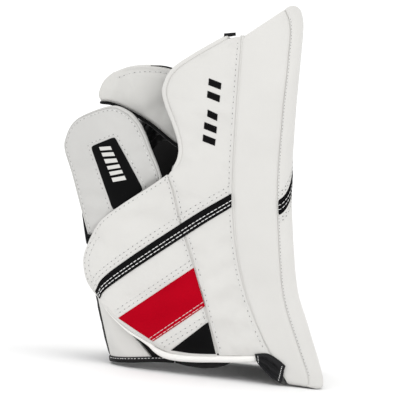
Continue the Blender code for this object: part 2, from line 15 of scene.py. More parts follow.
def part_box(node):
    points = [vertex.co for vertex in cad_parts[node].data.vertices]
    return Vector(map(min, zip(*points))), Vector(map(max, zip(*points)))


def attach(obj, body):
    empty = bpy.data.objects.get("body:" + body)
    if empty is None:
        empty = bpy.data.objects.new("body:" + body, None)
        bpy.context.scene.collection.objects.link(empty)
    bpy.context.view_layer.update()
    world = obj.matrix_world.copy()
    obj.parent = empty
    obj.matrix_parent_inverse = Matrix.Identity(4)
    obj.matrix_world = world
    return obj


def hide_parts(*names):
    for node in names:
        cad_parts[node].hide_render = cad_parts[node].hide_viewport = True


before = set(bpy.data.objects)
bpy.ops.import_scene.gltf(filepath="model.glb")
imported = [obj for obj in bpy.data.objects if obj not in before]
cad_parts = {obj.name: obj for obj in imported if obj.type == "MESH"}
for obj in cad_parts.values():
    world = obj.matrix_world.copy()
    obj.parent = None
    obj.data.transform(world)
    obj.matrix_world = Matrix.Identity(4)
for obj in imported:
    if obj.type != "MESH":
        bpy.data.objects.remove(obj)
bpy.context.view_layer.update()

MM = 0.001

# ---- design values, as in the CAD ------------------------------------------------------
NEAR_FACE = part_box("side_wall_panel")[0].y / MM      # outer face of the thumb-side wall
HALF_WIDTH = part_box("board_face_cover")[1].y / MM    # half the board's width
FAR_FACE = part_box("far_wall_panel")[1].y / MM
THUMB_FACE = -88.0
INDEX_FACE = -62.0
BOARD_LENGTH = 372.0
BOARD_ROUND = 12.0
LOW_END_ROUND = 5.0          # rounding of the face into the board's lower end
PLAN_ROUND = 5.0             # rounding of the board's four corners, seen from its front
FACE_RETURN = 15.0
BAND_END = 14.2              # depth on the flanks where the face's black band ends
COVER = 3.0
PAD = 10.9                   # leather, foam and gap of the thumb-side wall
BEND_START = -40.0
BEND_RADIUS = 100.0
BAND_FOOT = 172.0            # height along the board at which the face's black band starts
BAND_CLIMB = 21.0            # its steep climb round the thumb-side edge
BAND_SLOPE = 0.13            # its climb across the flat of the face, per mm
BAND_WIDTH = 15.6
BAND_FLARE = 1.4             # how much wider it is on the flat of the face
WING_ROUND = 35.0            # the cuff's turn from the thumb side to the palm side
WING_FRONT = -6.0            # X at which the cuff's path leaves the thumb-side wall
WING_PALM = 57.0             # its run along the palm side, after the turn
PALM_MIDDLE = 2.0            # Y at which it ends
FAR_ROUND = 40.0             # the cuff's turn from the palm side to the little-finger side
FAR_PALM = 26.0              # its run along the palm side, after that turn
LINING = 1.5
SEAM_ROUND = 1.3             # edge rounding of a leather panel at a seam
APPLIQUE = 1.2

BOARD_FRONT = [(136.5, 0.3), (138.5, 9), (123, 46), (105, 91), (94, 150), (88, 198), (85.2, 260),
               (84.4, 325), (82.5, 354), (75, 369.5)]
BOARD_BACK = [(104, 2), (83, 31), (64.5, 63), (44.5, 114), (32.5, 179), (28.3, 243), (25.5, 329)]
WALL_SEAM = [(35, 24.5), (23.4, 53), (3.2, 106), (-14.5, 147.5), (-24, 175), (-31, 190)]
SHIELD_RIM = [(-31, 190), (-24, 205), (-24, 219), (-31, 237), (-42, 259), (-45, 273), (-39, 290),
              (-23, 305), (10.4, 329)]
WRAP_TOP = [(-102.8, 119.0), (-93.7, 138.3), (-74.6, 156), (-47, 177.4), (-31.5, 190)]
WRAP_BOTTOM = [(-85.1, 62.3), (-75.7, 52.0), (-56, 38.5), (-34, 31), (-14, 23.2), (6, 21.6), (34.5, 24.5)]
WRAP_EDGE = [(-85.1, 62.3), (-101.2, 79.0), (-107.3, 100), (-102.8, 119.0)]
THUMB_LEFT = [(-107.5, 124), (-118.5, 149), (-132, 180.5), (-144.2, 206), (-143.4, 220), (-138.8, 231),
              (-132, 238)]
THUMB_TOP = [(-132, 238), (-122.7, 243), (-105.2, 250), (-92, 252.4), (-79, 248.3), (-71.6, 243.3),
             (-65, 236.8)]
THUMB_RIGHT = [(-42.5, 146), (-37, 180), (-40.5, 194), (-50.5, 212), (-57.7, 225.6), (-65, 236.8)]
THUMB_BOTTOM = [(-107.5, 124), (-72, 127), (-42.5, 146)]
INDEX_LEFT = [(-108.5, 256.2), (-111.5, 263), (-108, 276), (-99, 286)]
INDEX_TOP = [(-99, 286), (-82, 293.5), (-62, 297), (-43, 296.5), (0, 288)]
INDEX_RIGHT = [(-3, 214), (4, 250), (0, 288)]
INDEX_BOTTOM = [(-108.5, 256.2), (-96, 255.5), (-78, 249.4), (-56, 239.4), (-27, 221), (-3, 214)]
FAR_RIM = [(-14, 152), (-30, 176), (-58, 196), (-66, 225), (-60, 258), (-36, 284), (0, 300), (14, 304)]
BAND_TOP = [(-91, 70.4), (-78, 90.6), (-9.5, 148), (31.5, 178.4)]
BAND_LOW = [(-85.4, 63.6), (-74.3, 78.8), (-5.4, 135.7), (33, 165.3)]
RED_CORNERS = [(-64.6, 47.8), (-28.6, 29.2), (17.5, 68.2), (2.9, 103.8)]
PIPING = [(-85.5, 62.8), (-75.5, 51.6), (-57, 38.0), (-43, 31.0), (-32, 25.6),
          (-24, 20.4), (-14, 17.0), (0, 16.2),
          (17, 17.2), (34, 19.0), (52, 20.8), (71.5, 23.4)]
PATCH_LEFT = [(-81.9, 150), (-101, 188.4), (-112, 210)]
PATCH_RIGHT = [(-54, 173), (-67, 192.2), (-88, 221.6)]
TIE_TOP = [(69.5, 28.1), (74.7, 29.3), (80.4, 29.9), (84.8, 28.9), (92, 25.2), (100, 20)]
TIE_LOW = [(72.3, 21.5), (74.2, 19.7), (80.6, 14.3), (87.8, 8.6), (92.5, 5.5), (97.6, 3.0)]
FINGERS = [("index", -36.0, 208.0), ("middle", -12.0, 203.0), ("ring", 12.0, 197.0), ("little", 36.0, 190.0)]
STALL_RADIUS = 10.5
STALL_WALL = 1.8
STRAP_X = -115.5
STRAP_START = -26.0
STRAP_LENGTH = 86.0


# ---- lines and surfaces ----------------------------------------------------------------
def smooth_line(points):
    """Function of t (0 to 1, by chord length) on a smooth curve through the points."""
    points = [Vector(p) for p in points]
    lengths = [0.0]
    for first, second in zip(points, points[1:]):
        lengths.append(lengths[-1] + (second - first).length)

    def at(t):
        target = t * lengths[-1]
        span = 0
        while span < len(points) - 2 and target > lengths[span + 1]:
            span += 1
        local = (target - lengths[span]) / (lengths[span + 1] - lengths[span])
        start, end = points[span], points[span + 1]
        before = points[span - 1] if span > 0 else 2 * start - end
        after = points[span + 2] if span + 2 < len(points) else 2 * end - start
        square, cube = local * local, local ** 3
        return (start * (2 * cube - 3 * square + 1) + (end - before) * (0.5 * (cube - 2 * square + local))
                + end * (3 * square - 2 * cube) + (after - start) * (0.5 * (cube - square)))
    return at


def coons(bottom, top, left, right):
    """Surface (a, b) between four boundary curves that share their corners."""
    low, high, west, east = (smooth_line(edge) for edge in (bottom, top, left, right))
    corner = [Vector(bottom[0]), Vector(bottom[-1]), Vector(top[0]), Vector(top[-1])]

    def patch(a, b):
        corners = ((1 - a) * (1 - b) * corner[0] + a * (1 - b) * corner[1]
                   + (1 - a) * b * corner[2] + a * b * corner[3])
        return low(a) * (1 - b) + high(a) * b + west(b) * (1 - a) + east(b) * a - corners
    return patch


def between(left, right):
    """Patch between two side edges, with straight ends."""
    return coons([left[0], right[0]], [left[-1], right[-1]], left, right)


def stacked(low, top):
    """Patch between a lower and an upper edge, with straight ends."""
    return coons(low, top, [low[0], top[0]], [low[-1], top[-1]])


def quad(corners):
    """Straight-sided patch between four corners, in order round it."""
    first, second, third, fourth = corners
    return coons([first, second], [fourth, third], [first, fourth], [second, third])


def samples(points, count):
    at = smooth_line(points)
    return [at(index / (count - 1)) for index in range(count)]


def offset_line(points, distance, count=40):
    """A line beside a smooth curve: distance (a number or a function of t) to the right of its way."""
    at = smooth_line(points)
    moved = []
    for index in range(count):
        t = index / (count - 1)
        way = at(min(t + 0.01, 1)) - at(max(t - 0.01, 0))
        right = Vector((way.y, -way.x)).normalized()
        moved.append(at(t) + right * (distance(t) if callable(distance) else distance))
    return moved


def smooth_step(value):
    value = min(max(value, 0.0), 1.0)
    return value * value * (3 - 2 * value)


def bent(face_y):
    """Face that is flat at face_y and curves inward (+Y) beyond BEND_START."""
    def face(x, z, depth):
        slope = max(BEND_START - x, 0.0) / BEND_RADIUS
        inward = Vector((slope, 1.0)).normalized() * depth
        return Vector((x + inward.x, face_y + slope * slope * BEND_RADIUS / 2 + inward.y, z))
    return face


near_face = bent(NEAR_FACE)
thumb_face = bent(THUMB_FACE)


def index_face(x, z, depth):
    return Vector((x, INDEX_FACE + depth + max(-60 - x, 0) ** 2 / 500, z))


def far_face(x, z, depth):
    return Vector((x, FAR_FACE - depth, z))


def on_face(face, patch):
    def place(a, b, depth):
        x, z = patch(a, b)
        return face(x, z, depth)
    return place


def behind(place, distance):
    """The same patch, a distance further in."""
    return lambda a, b, depth: place(a, b, depth + distance)


board_front = smooth_line(BOARD_FRONT)
board_back = smooth_line(BOARD_BACK)


def board_point(t, depth):
    front = board_front(t)
    return front + (board_back(t) - front).normalized() * depth


def board_thickness(t):
    return (board_front(t) - board_back(t)).length


def board_back_x(z):
    """X of the board's back edge at a height, by bisection."""
    low, high = 0.0, 1.0
    for _ in range(24):
        middle = (low + high) / 2
        if board_back(middle).y < z:
            low = middle
        else:
            high = middle
    return board_back(low).x


def back_edge(low_z, high_z, gap):
    """Edge along the board's back between two heights, a gap away from it."""
    heights = [low_z + (high_z - low_z) * index / 6 for index in range(7)]
    return [(board_back_x(z) - gap, z) for z in heights]


# ---- pieces ----------------------------------------------------------------------------
swelling = []                # padded pieces that the cloth simulation blows up


def own(obj, body, nodes=()):
    """Put a piece on its CAD body, and hide the CAD nodes it stands for."""
    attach(obj, body)
    if nodes:
        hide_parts(*nodes)
    return obj


def made_object(name, points, faces, finishes, smooth=True):
    mesh = bpy.data.meshes.new(name)
    mesh.from_pydata([Vector(p) * MM for p in points], [], faces)
    bm = bmesh.new()
    bm.from_mesh(mesh)
    bmesh.ops.recalc_face_normals(bm, faces=bm.faces)
    bm.to_mesh(mesh)
    bm.free()
    if smooth:
        mesh.shade_smooth()
    for finish in finishes:
        mesh.materials.append(finish)
    obj = bpy.data.objects.new(name, mesh)
    bpy.context.scene.collection.objects.link(obj)
    return obj


def store(obj, name, values):
    attribute = obj.data.attributes.new(name, "FLOAT", "POINT")
    attribute.data.foreach_set("value", np.array(values, np.float32))


def stations(length, radius, step):
    """Shares of a length: close together where the edges are rounded, about a step apart between."""
    radius = min(radius, 0.4 * length)
    turn = [radius * (1 - math.cos(math.radians(angle))) for angle in (0, 20, 45, 70, 90)]
    inner = length - 2 * radius
    cells = max(1, round(inner / step))
    middle = [radius + inner * index / cells for index in range(1, cells)]
    return [d / length for d in turn + middle + [length - d for d in reversed(turn)]]


def rounded_corner(a, b, share_a, share_b):
    """Move a point of the unit square's corner regions onto rounded corners."""
    side_a, side_b = (1 if a > 0.5 else -1), (1 if b > 0.5 else -1)
    centre_a = 1 - share_a if side_a > 0 else share_a
    centre_b = 1 - share_b if side_b > 0 else share_b
    reach_a = (a - centre_a) * side_a / share_a
    reach_b = (b - centre_b) * side_b / share_b
    if reach_a <= 0 or reach_b <= 0:
        return a, b
    pull = max(reach_a, reach_b) / math.hypot(reach_a, reach_b)
    return (centre_a + side_a * reach_a * pull * share_a,
            centre_b + side_b * reach_b * pull * share_b)


def leather_wave(point, amount):
    """Slow unevenness of leather over foam."""
    slow = noise.noise(point * 0.022) + 0.5 * noise.noise(point * 0.06 + Vector((7, 3, 1)))
    return amount * slow


def run_length(place, along_a, fixed=0.5):
    total, last = 0.0, None
    for index in range(13):
        share = index / 12
        point = place(share, fixed, 0.0) if along_a else place(fixed, share, 0.0)
        if last is not None:
            total += (point - last).length
        last = point
    return total


def panel(name, finishes, place, thick, radius=SEAM_ROUND, step=4.5, crown=0.0, wave=0.25, back_radius=0.0,
          corner=0.0, relief=None, swell=0.0, pinch=14.0):
    """Closed leather panel or pad on place(a, b, depth): rounded edges, a crown, an even thickness.

    swell is how far in mm the cloth simulation may blow its face out, and 0 leaves it alone.
    """
    width, height = run_length(place, True), run_length(place, False)
    columns, rows = stations(width, radius, step), stations(height, radius, step)
    front, back, edge = [], [], []
    for b in rows:
        row_width = max(run_length(place, True, b), 4 * radius)
        for a in columns:
            near_edge = (min(a, 1 - a) * row_width, min(b, 1 - b) * height)
            fall = [max(radius - e, 0.0) for e in near_edge]
            drop = radius - math.sqrt(max(radius * radius - fall[0] ** 2 - fall[1] ** 2, 0.0))
            away = min(near_edge)
            if corner:
                a_moved, b_moved = rounded_corner(a, b, corner / width, corner / height)
            else:
                a_moved, b_moved = a, b
            base = place(a_moved, b_moved, 0.0)
            lift = crown * (1 - math.exp(-away / pinch)) + leather_wave(base, wave) * min(away / 8, 1)
            if relief:
                lift -= relief(base)
            front.append(place(a_moved, b_moved, drop - lift))
            back_fall = [max(back_radius - e, 0.0) for e in near_edge]
            rise = back_radius - math.sqrt(max(back_radius ** 2 - sum(f * f for f in back_fall), 0.0))
            back.append(place(a_moved, b_moved, thick - rise))
            # Closeness to the panel's border, stored as the edge attribute: the leathers use it for painted
            # seam shade, dirt and wear.
            edge.append(math.exp(-away / 4.0))
    across, up = len(columns), len(rows)
    count = across * up
    faces, sides = [], []
    for j in range(up - 1):
        for i in range(across - 1):
            k = j * across + i
            faces.append((k, k + 1, k + across + 1, k + across))
    flipped = [tuple(count + k for k in reversed(face)) for face in faces]
    border = ([i for i in range(across)] + [j * across + across - 1 for j in range(1, up)]
              + [(up - 1) * across + i for i in range(across - 2, -1, -1)]
              + [j * across for j in range(up - 2, 0, -1)])
    for first, second in zip(border, border[1:] + border[:1]):
        sides.append((first, first + count, second + count, second))
    obj = made_object(name, front + back, faces + flipped + sides, finishes)
    if len(finishes) > 1:
        for index, face in enumerate(obj.data.polygons):
            face.material_index = 1 if len(faces) <= index < 2 * len(faces) else 0
    store(obj, "edge", edge + edge)
    if swell:
        pinned = [k for k in range(count) if edge[k] > math.exp(-radius / 4.0) - 1e-6]
        swelling.append((obj, pinned + list(range(count, 2 * count)), swell))
    return soften(obj)


def soften(obj, levels=1):
    """Subdivision that stays on the piece."""
    subdivide = obj.modifiers.new("soften", "SUBSURF")
    subdivide.levels = levels
    subdivide.render_levels = levels
    return obj


def blow_up(pieces, frames=20, pressure=4.0, slack=0.02):
    """Cloth simulation of all padded pieces at once: pressure inside, seams and backs held."""
    scene = bpy.context.scene
    rest = {}
    for obj, pinned, _ in pieces:
        rest[obj.name] = np.array([v.co for v in obj.data.vertices], float)
        group = obj.vertex_groups.new(name="sewn")
        group.add(pinned, 1.0, "REPLACE")
        obj.modifiers["soften"].show_viewport = False
        cloth = obj.modifiers.new("cloth", "CLOTH")
        settings = cloth.settings
        settings.quality = 5
        settings.mass = 0.2
        settings.tension_stiffness = 18
        settings.compression_stiffness = 18
        settings.shear_stiffness = 8
        settings.bending_stiffness = 1.2
        settings.use_pressure = True
        settings.uniform_pressure_force = pressure
        settings.shrink_min = -slack
        settings.vertex_group_mass = group.name
        settings.pin_stiffness = 1.0
        settings.effector_weights.gravity = 0.0
        cloth.point_cache.frame_start = 1
        cloth.point_cache.frame_end = frames
    for number in range(1, frames + 1):
        scene.frame_set(number)
    graph = bpy.context.evaluated_depsgraph_get()
    for obj, _, cap in pieces:
        shape = np.array([v.co for v in obj.evaluated_get(graph).data.vertices], float)
        move = shape - rest[obj.name]
        length = np.linalg.norm(move, axis=1, keepdims=True)
        move *= np.minimum(1.0, cap * MM / np.maximum(length, 1e-9))
        settled = rest[obj.name] + move
        obj.modifiers.remove(obj.modifiers["cloth"])
        obj.data.vertices.foreach_set("co", settled.astype(np.float32).ravel())
        obj.data.update()
        obj.modifiers["soften"].show_viewport = True
    scene.frame_set(1)


def sweep(name, finishes, centres, ups, half_width, half_height, closed=False, sides=10, flat=False):
    """Rounded strand along the centres: half_width across, half_height towards the ups."""
    rings, points = len(centres), []
    for index, centre in enumerate(centres):
        after = centres[(index + 1) % rings] if closed else centres[min(index + 1, rings - 1)]
        before = centres[index - 1] if closed else centres[max(index - 1, 0)]
        way = (after - before).normalized()
        up = (ups[index] - way * way.dot(ups[index])).normalized()
        across = way.cross(up)
        share = index / (rings - 1)
        wide = half_width(share) if callable(half_width) else half_width
        high = half_height(share) if callable(half_height) else half_height
        for k in range(sides):
            angle = 2 * math.pi * k / sides
            u, v = math.cos(angle), math.sin(angle)
            if flat:
                u, v = math.copysign(abs(u) ** 0.5, u), math.copysign(abs(v) ** 0.5, v)
            points.append(centre + across * wide * u + up * high * v)
    faces = []
    for j in range(rings if closed else rings - 1):
        low, high_row = j * sides, (j + 1) % rings * sides
        for k in range(sides):
            following = (k + 1) % sides
            faces.append((low + k, low + following, high_row + following, high_row + k))
    if not closed:
        faces.append(tuple(reversed(range(sides))))
        faces.append(tuple((rings - 1) * sides + k for k in range(sides)))
    obj = made_object(name, points, faces, finishes)
    store(obj, "edge", [0.0] * len(points))
    return obj


def welt(name, finishes, line, face, depth, half_width, half_height, flat=False, sides=10):
    """Strand along a line of (x, z) on a face, its centre a depth in mm under it."""
    centres = [face(x, z, depth) for x, z in line]
    ups = [face(x, z, depth - 1) - face(x, z, depth) for x, z in line]
    return sweep(name, finishes, centres, ups, half_width, half_height, sides=sides, flat=flat)


VIEWS = {"near": Vector((0, 1, 0)), "far": Vector((0, -1, 0)), "front": Vector((-1, 0, 0)),
         "palm": Vector((1, 0, 0))}


def surfaces_of(*pieces):
    """Ray-cast trees of the finished pieces."""
    graph = bpy.context.evaluated_depsgraph_get()
    return [BVHTree.FromObject(piece, graph) for piece in pieces]


def dropped(trees, point, side):
    """Where a line from outside through the point, in mm, meets the pieces first."""
    way = VIEWS[side]
    start = Vector(point) * MM - way * (way.dot(Vector(point)) * MM + 0.4)
    best = None
    for tree in trees:
        hit, normal, _, distance = tree.ray_cast(start, way)
        if hit is not None and (best is None or distance < best[2]):
            best = (hit / MM, normal if normal.dot(way) < 0 else -normal, distance)
    return best


def lay_track(trees, line, side, close=0.7):
    """Closely spaced (point, normal) pairs on the pieces under a line of points."""
    track = []
    for first, second in zip(line, line[1:]):
        cells = max(1, round((second - first).length / close))
        for index in range(cells):
            found = dropped(trees, first.lerp(second, index / cells), side)
            if found:
                track.append((found[0], found[1]))
    return track


def sewn(trees, line, side):
    """Track on the pieces under a line of (x, z)."""
    return lay_track(trees, [Vector((x, 0, z)) for x, z in line], side)


def stitches(name, body, finishes, tracks, pitch=5.2, length=3.6, thread=0.32, hole=0.45):
    """Rows of sewn stitches: raised threads, and between them flat dark marks of painted shade where the
    needle holes are.
    """
    turns, bands = 6, 4
    ball = []
    for band in range(1, bands):
        tall = math.pi * band / bands
        for turn in range(turns):
            round_angle = 2 * math.pi * turn / turns
            ball.append((math.cos(tall), math.sin(tall) * math.cos(round_angle),
                         math.sin(tall) * math.sin(round_angle)))
    ball += [(1, 0, 0), (-1, 0, 0)]
    north, south = len(ball) - 2, len(ball) - 1
    ball_faces = []
    for band in range(bands - 2):
        for turn in range(turns):
            following = (turn + 1) % turns
            ball_faces.append((band * turns + turn, band * turns + following,
                               (band + 1) * turns + following, (band + 1) * turns + turn))
    for turn in range(turns):
        following = (turn + 1) % turns
        ball_faces.append((north, following, turn))
        last = (bands - 2) * turns
        ball_faces.append((last + turn, last + following, south))
    points, faces, slots = [], [], []

    def add(centre, way, normal, long, wide, tall, which):
        across = normal.cross(way).normalized()
        first = len(points)
        for u, v, w in ball:
            points.append(centre + way * (u * long) + across * (v * wide) + normal * (w * tall))
        for face in ball_faces:
            faces.append(tuple(first + k for k in face))
            slots.append(which)

    for track in tracks:
        travelled, target = 0.0, pitch / 2
        for (first, normal), (second, _) in zip(track, track[1:]):
            gap = second - first
            if gap.length > 6 or gap.length < 1e-6:
                continue
            travelled += gap.length
            if travelled < target:
                continue
            target += pitch
            way = (gap - normal * gap.dot(normal)).normalized()
            add(first + normal * thread * 0.35, way, normal, length / 2, thread, thread * 0.8, 0)
            # Each hole is a flat dark mark on the surface: painted shade of the needle hole.
            if hole:
                add(first + way * pitch / 2, way, normal, hole * 1.6, hole, 0.14, 1)
    obj = made_object(name, points, faces, finishes)
    for face, which in zip(obj.data.polygons, slots):
        face.material_index = which
    return own(obj, body)


def applique(name, body, finishes, patch, trees, side, thick=APPLIQUE, step=3.0, corner=0.0,
             nodes=(), lift=0.05):
    """Thin leather piece sewn onto the pieces below it, following their surface."""
    axis = VIEWS[side]

    def lowest(a, b):
        u, v = patch(a, b)
        point = Vector((u, 0, v)) if side in ("near", "far") else Vector((0, u, v))
        found = dropped(trees, point, side)
        return found[0] if found else None

    width = (patch(1, 0.5) - patch(0, 0.5)).length
    height = (patch(0.5, 1) - patch(0.5, 0)).length
    known = {}

    def place(a, b, depth):
        key = (round(a, 5), round(b, 5))
        if key not in known:
            known[key] = lowest(a, b)
        found = known[key]
        if found is None:
            near = min((k for k in known if known[k] is not None),
                       key=lambda k: abs(k[0] - key[0]) + abs(k[1] - key[1]), default=None)
            u, v = patch(a, b)
            level = axis.dot(known[near]) if near else 0.0
            found = (Vector((u, 0, v)) if side in ("near", "far") else Vector((0, u, v))) + axis * level
            known[key] = found
        return found - axis * (thick + lift - depth)

    return own(panel(name, finishes, place, thick, radius=min(thick * 0.6, width / 5, height / 5), step=step,
                     wave=0.0, corner=corner), body, nodes)


def shell(name, finishes, rows, thick, outward, ring=False, tip=False):
    """Open surface through rows of points, thickened away from outward."""
    across = len(rows[0])
    points = [p for row in rows for p in row]
    faces = []
    for j in range(len(rows) - 1):
        for i in range(across if ring else across - 1):
            low, following = j * across + i, j * across + (i + 1) % across
            faces.append((low, following, following + across, low + across))
    if tip:
        faces.append(tuple((len(rows) - 1) * across + i for i in range(across)))
    obj = made_object(name, points, faces, finishes)
    facing = 0.0
    for face in obj.data.polygons:
        way = outward(face.center / MM) if callable(outward) else outward
        facing += face.normal.dot(way) * face.area
    if facing < 0:
        obj.data.flip_normals()
    store(obj, "edge", [0.0] * len(points))
    thickness = obj.modifiers.new("thickness", "SOLIDIFY")
    thickness.thickness = thick * MM
    thickness.offset = -1.0
    return soften(obj)


# ---- materials -------------------------------------------------------------------------
class Recipe:
    """Node tree of one procedural material, built from small named steps."""

    def __init__(self, name, roughness, specular=0.5):
        self.made = bpy.data.materials.new(name)
        self.made.use_nodes = True
        self.tree = self.made.node_tree
        self.shader = self.tree.nodes["Principled BSDF"]
        self.shader.inputs["Specular IOR Level"].default_value = specular
        self.shader.inputs["Roughness"].default_value = roughness
        self.place = self.node("ShaderNodeTexCoord").outputs["Object"]

    def node(self, kind, **settings):
        node = self.tree.nodes.new(kind)
        for key, value in settings.items():
            setattr(node, key, value)
        return node

    def link(self, source, target):
        self.tree.links.new(source, target)

    def noise(self, scale, detail=3.0):
        node = self.node("ShaderNodeTexNoise")
        node.inputs["Scale"].default_value = scale
        node.inputs["Detail"].default_value = detail
        self.link(self.place, node.inputs["Vector"])
        return node.outputs["Fac"]

    def cells(self, scale):
        node = self.node("ShaderNodeTexVoronoi", feature="F1")
        node.inputs["Scale"].default_value = scale
        self.link(self.place, node.inputs["Vector"])
        return node.outputs["Distance"]

    def waves(self, direction, period):
        node = self.node("ShaderNodeTexWave", bands_direction=direction)
        node.inputs["Scale"].default_value = 2 * math.pi / (20 * period * MM)
        self.link(self.place, node.inputs["Vector"])
        return node.outputs["Fac"]

    def spread(self, value, low, high, start=0.3, end=0.7):
        node = self.node("ShaderNodeMapRange")
        node.inputs["From Min"].default_value = start
        node.inputs["From Max"].default_value = end
        node.inputs["To Min"].default_value = low
        node.inputs["To Max"].default_value = high
        self.link(value, node.inputs["Value"])
        return node.outputs["Result"]

    def mix(self, share, first, second):
        node = self.node("ShaderNodeMix", data_type="RGBA")
        self.link(share, node.inputs["Factor"])
        for socket, colour in ((node.inputs[6], first), (node.inputs[7], second)):
            if isinstance(colour, tuple):
                socket.default_value = (*colour, 1.0)
            else:
                self.link(colour, socket)
        return node.outputs[2]

    def maths(self, operation, first, second):
        node = self.node("ShaderNodeMath", operation=operation)
        for socket, value in zip(node.inputs, (first, second)):
            if isinstance(value, (int, float)):
                socket.default_value = value
            else:
                self.link(value, socket)
        return node.outputs["Value"]

    def bump(self, height, depth, strength=1.0, before=None):
        node = self.node("ShaderNodeBump")
        node.inputs["Distance"].default_value = depth * MM
        node.inputs["Strength"].default_value = strength
        self.link(height, node.inputs["Height"])
        if before is not None:
            self.link(before, node.inputs["Normal"])
        return node.outputs["Normal"]

    def finish(self, colour, roughness, normal):
        self.link(colour, self.shader.inputs["Base Color"])
        self.link(roughness, self.shader.inputs["Roughness"])
        self.link(normal, self.shader.inputs["Normal"])
        return self.made


def tinted(colour, factor):
    return tuple(min(channel * factor, 1.0) for channel in colour)


def leather(name, colour, roughness, shade=0.93, grain=0.05, crease=0.25, seam_shade_and_wear=0.90, specular=0.45):
    """Coated leather: pores, fine creases, slow mottling, and a change of colour beside the seams: darker
    there (factor below one) as painted shade where panels meet, mixed with handling dirt; lighter (factor
    above one) as rubbed wear.
    """
    recipe = Recipe(name, roughness, specular)
    mottle = recipe.spread(recipe.noise(16, 4), 0.0, 1.0, 0.25, 0.75)
    body = recipe.mix(mottle, tinted(colour, shade), colour)
    # Closeness to the panel's border: here the colour moves towards the seam tone, which is painted shade
    # and dirt where it darkens and wear where it lightens.
    beside = recipe.node("ShaderNodeAttribute", attribute_name="edge").outputs["Fac"]
    seam_shade_and_wear_mask = recipe.maths("MULTIPLY", beside, recipe.spread(recipe.noise(70, 3), 0.2, 1.0))
    seam_shaded_and_worn = recipe.mix(seam_shade_and_wear_mask, body, tinted(colour, seam_shade_and_wear))
    pores = recipe.bump(recipe.cells(950), grain, 0.5)
    creased = recipe.bump(recipe.noise(120, 6), crease, 0.35, pores)
    broad = recipe.bump(recipe.noise(28, 3), 0.9, 0.25, creased)
    gloss = recipe.spread(recipe.noise(60, 4), roughness - 0.06, roughness + 0.10)
    return recipe.finish(seam_shaded_and_worn, gloss, broad)


def webbing(name, colour, roughness, period, depth=0.12, shade=0.55):
    """Woven cloth: crossing ribs of yarn with a slow unevenness."""
    recipe = Recipe(name, roughness, 0.15)
    recipe.shader.inputs["Sheen Weight"].default_value = 0.04
    weft = recipe.waves("DIAGONAL", period)
    warp = recipe.waves("Z", period * 0.7)
    cloth = recipe.maths("MULTIPLY", weft, warp)
    body = recipe.mix(cloth, tinted(colour, shade), tinted(colour, 1.25))
    faded = recipe.mix(recipe.spread(recipe.noise(35, 3), 0.0, 0.35), body, tinted(colour, 1.8))
    raised = recipe.bump(cloth, depth, 0.7)
    gloss = recipe.spread(recipe.noise(200, 2), roughness - 0.05, roughness + 0.08)
    return recipe.finish(faded, gloss, raised)


def yarn(name, colour, roughness=0.6):
    """Twisted sewing thread."""
    recipe = Recipe(name, roughness, 0.4)
    twist = recipe.waves("DIAGONAL", 0.5)
    body = recipe.mix(twist, tinted(colour, 0.8), colour)
    return recipe.finish(body, recipe.spread(recipe.noise(400, 2), roughness, roughness + 0.1),
                         recipe.bump(twist, 0.05, 0.5))


def moulded(name, colour, roughness):
    """Smooth sheet plastic or closed-cell foam with a faint texture."""
    recipe = Recipe(name, roughness, 0.5)
    body = recipe.mix(recipe.noise(45, 3), tinted(colour, 0.85), colour)
    return recipe.finish(body, recipe.spread(recipe.noise(90, 3), roughness - 0.05, roughness + 0.1),
                         recipe.bump(recipe.cells(1400), 0.08, 0.5))


def floor_finish():
    recipe = Recipe("studio_floor", 0.9, 0.1)
    body = recipe.mix(recipe.noise(3, 2), (0.90, 0.90, 0.90), (0.92, 0.92, 0.92))
    return recipe.finish(body, recipe.spread(recipe.noise(5, 2), 0.85, 0.95),
                         recipe.bump(recipe.noise(20, 2), 0.1, 0.1))


WHITE = leather("white_leather", (0.64, 0.632, 0.610), 0.46, specular=0.35)
# Painted shade: the thumb guard's white leather, darkened for the shade that falls on it.
SHADED_SOFT_WHITE = leather("shaded_soft_white_leather", (0.54, 0.535, 0.52), 0.5, crease=0.35, specular=0.3)
# Painted shade: the index guard's white leather, darkened for the shade it lies in behind the thumb-side
# wall.
SHADED_GUARD_WHITE = leather("shaded_guard_white_leather", (0.60, 0.594, 0.572), 0.48, specular=0.3)
# Painted highlight: the piping is the same white leather as the rest, given a lighter colour for the light
# its roll catches.
HIGHLIT_ROLL_WHITE = leather("highlit_rolled_white_leather", (0.86, 0.85, 0.825), 0.42, crease=0.2, specular=0.35)
RED = leather("red_leather", (0.43, 0.0003, 0.010), 0.42, shade=0.86, seam_shade_and_wear=0.8, specular=0.02)
BLACK = leather("black_leather", (0.0042, 0.0042, 0.0044), 0.46, shade=0.7, seam_shade_and_wear=1.4, crease=0.3,
                specular=0.03)
# Painted highlight: the black palm leather is given a dark grey colour so that its folds read as lit in the
# shade.
HIGHLIT_PALM = leather("highlit_palm_leather", (0.05, 0.05, 0.0505), 0.34, shade=0.6, seam_shade_and_wear=1.6, crease=0.8, grain=0.1,
               specular=0.4)
NYLON = webbing("black_nylon", (0.014, 0.0138, 0.0138), 0.72, 1.1)
BINDING = webbing("black_binding", (0.006, 0.006, 0.0062), 0.6, 0.9)
ELASTIC = webbing("black_elastic", (0.010, 0.010, 0.011), 0.5, 1.6, depth=0.25)
HOOK = webbing("hook_tape", (0.02, 0.02, 0.022), 0.85, 0.8, depth=0.4)
FOAM = moulded("grey_foam", (0.30, 0.31, 0.33), 0.85)
PLASTIC = moulded("sheet_plastic", (0.75, 0.76, 0.74), 0.35)
WHITE_THREAD = yarn("white_thread", (0.76, 0.76, 0.75))
PALE_THREAD = yarn("pale_thread", (0.80, 0.62, 0.62))
BRIGHT_THREAD = yarn("bright_thread", (0.88, 0.88, 0.87))
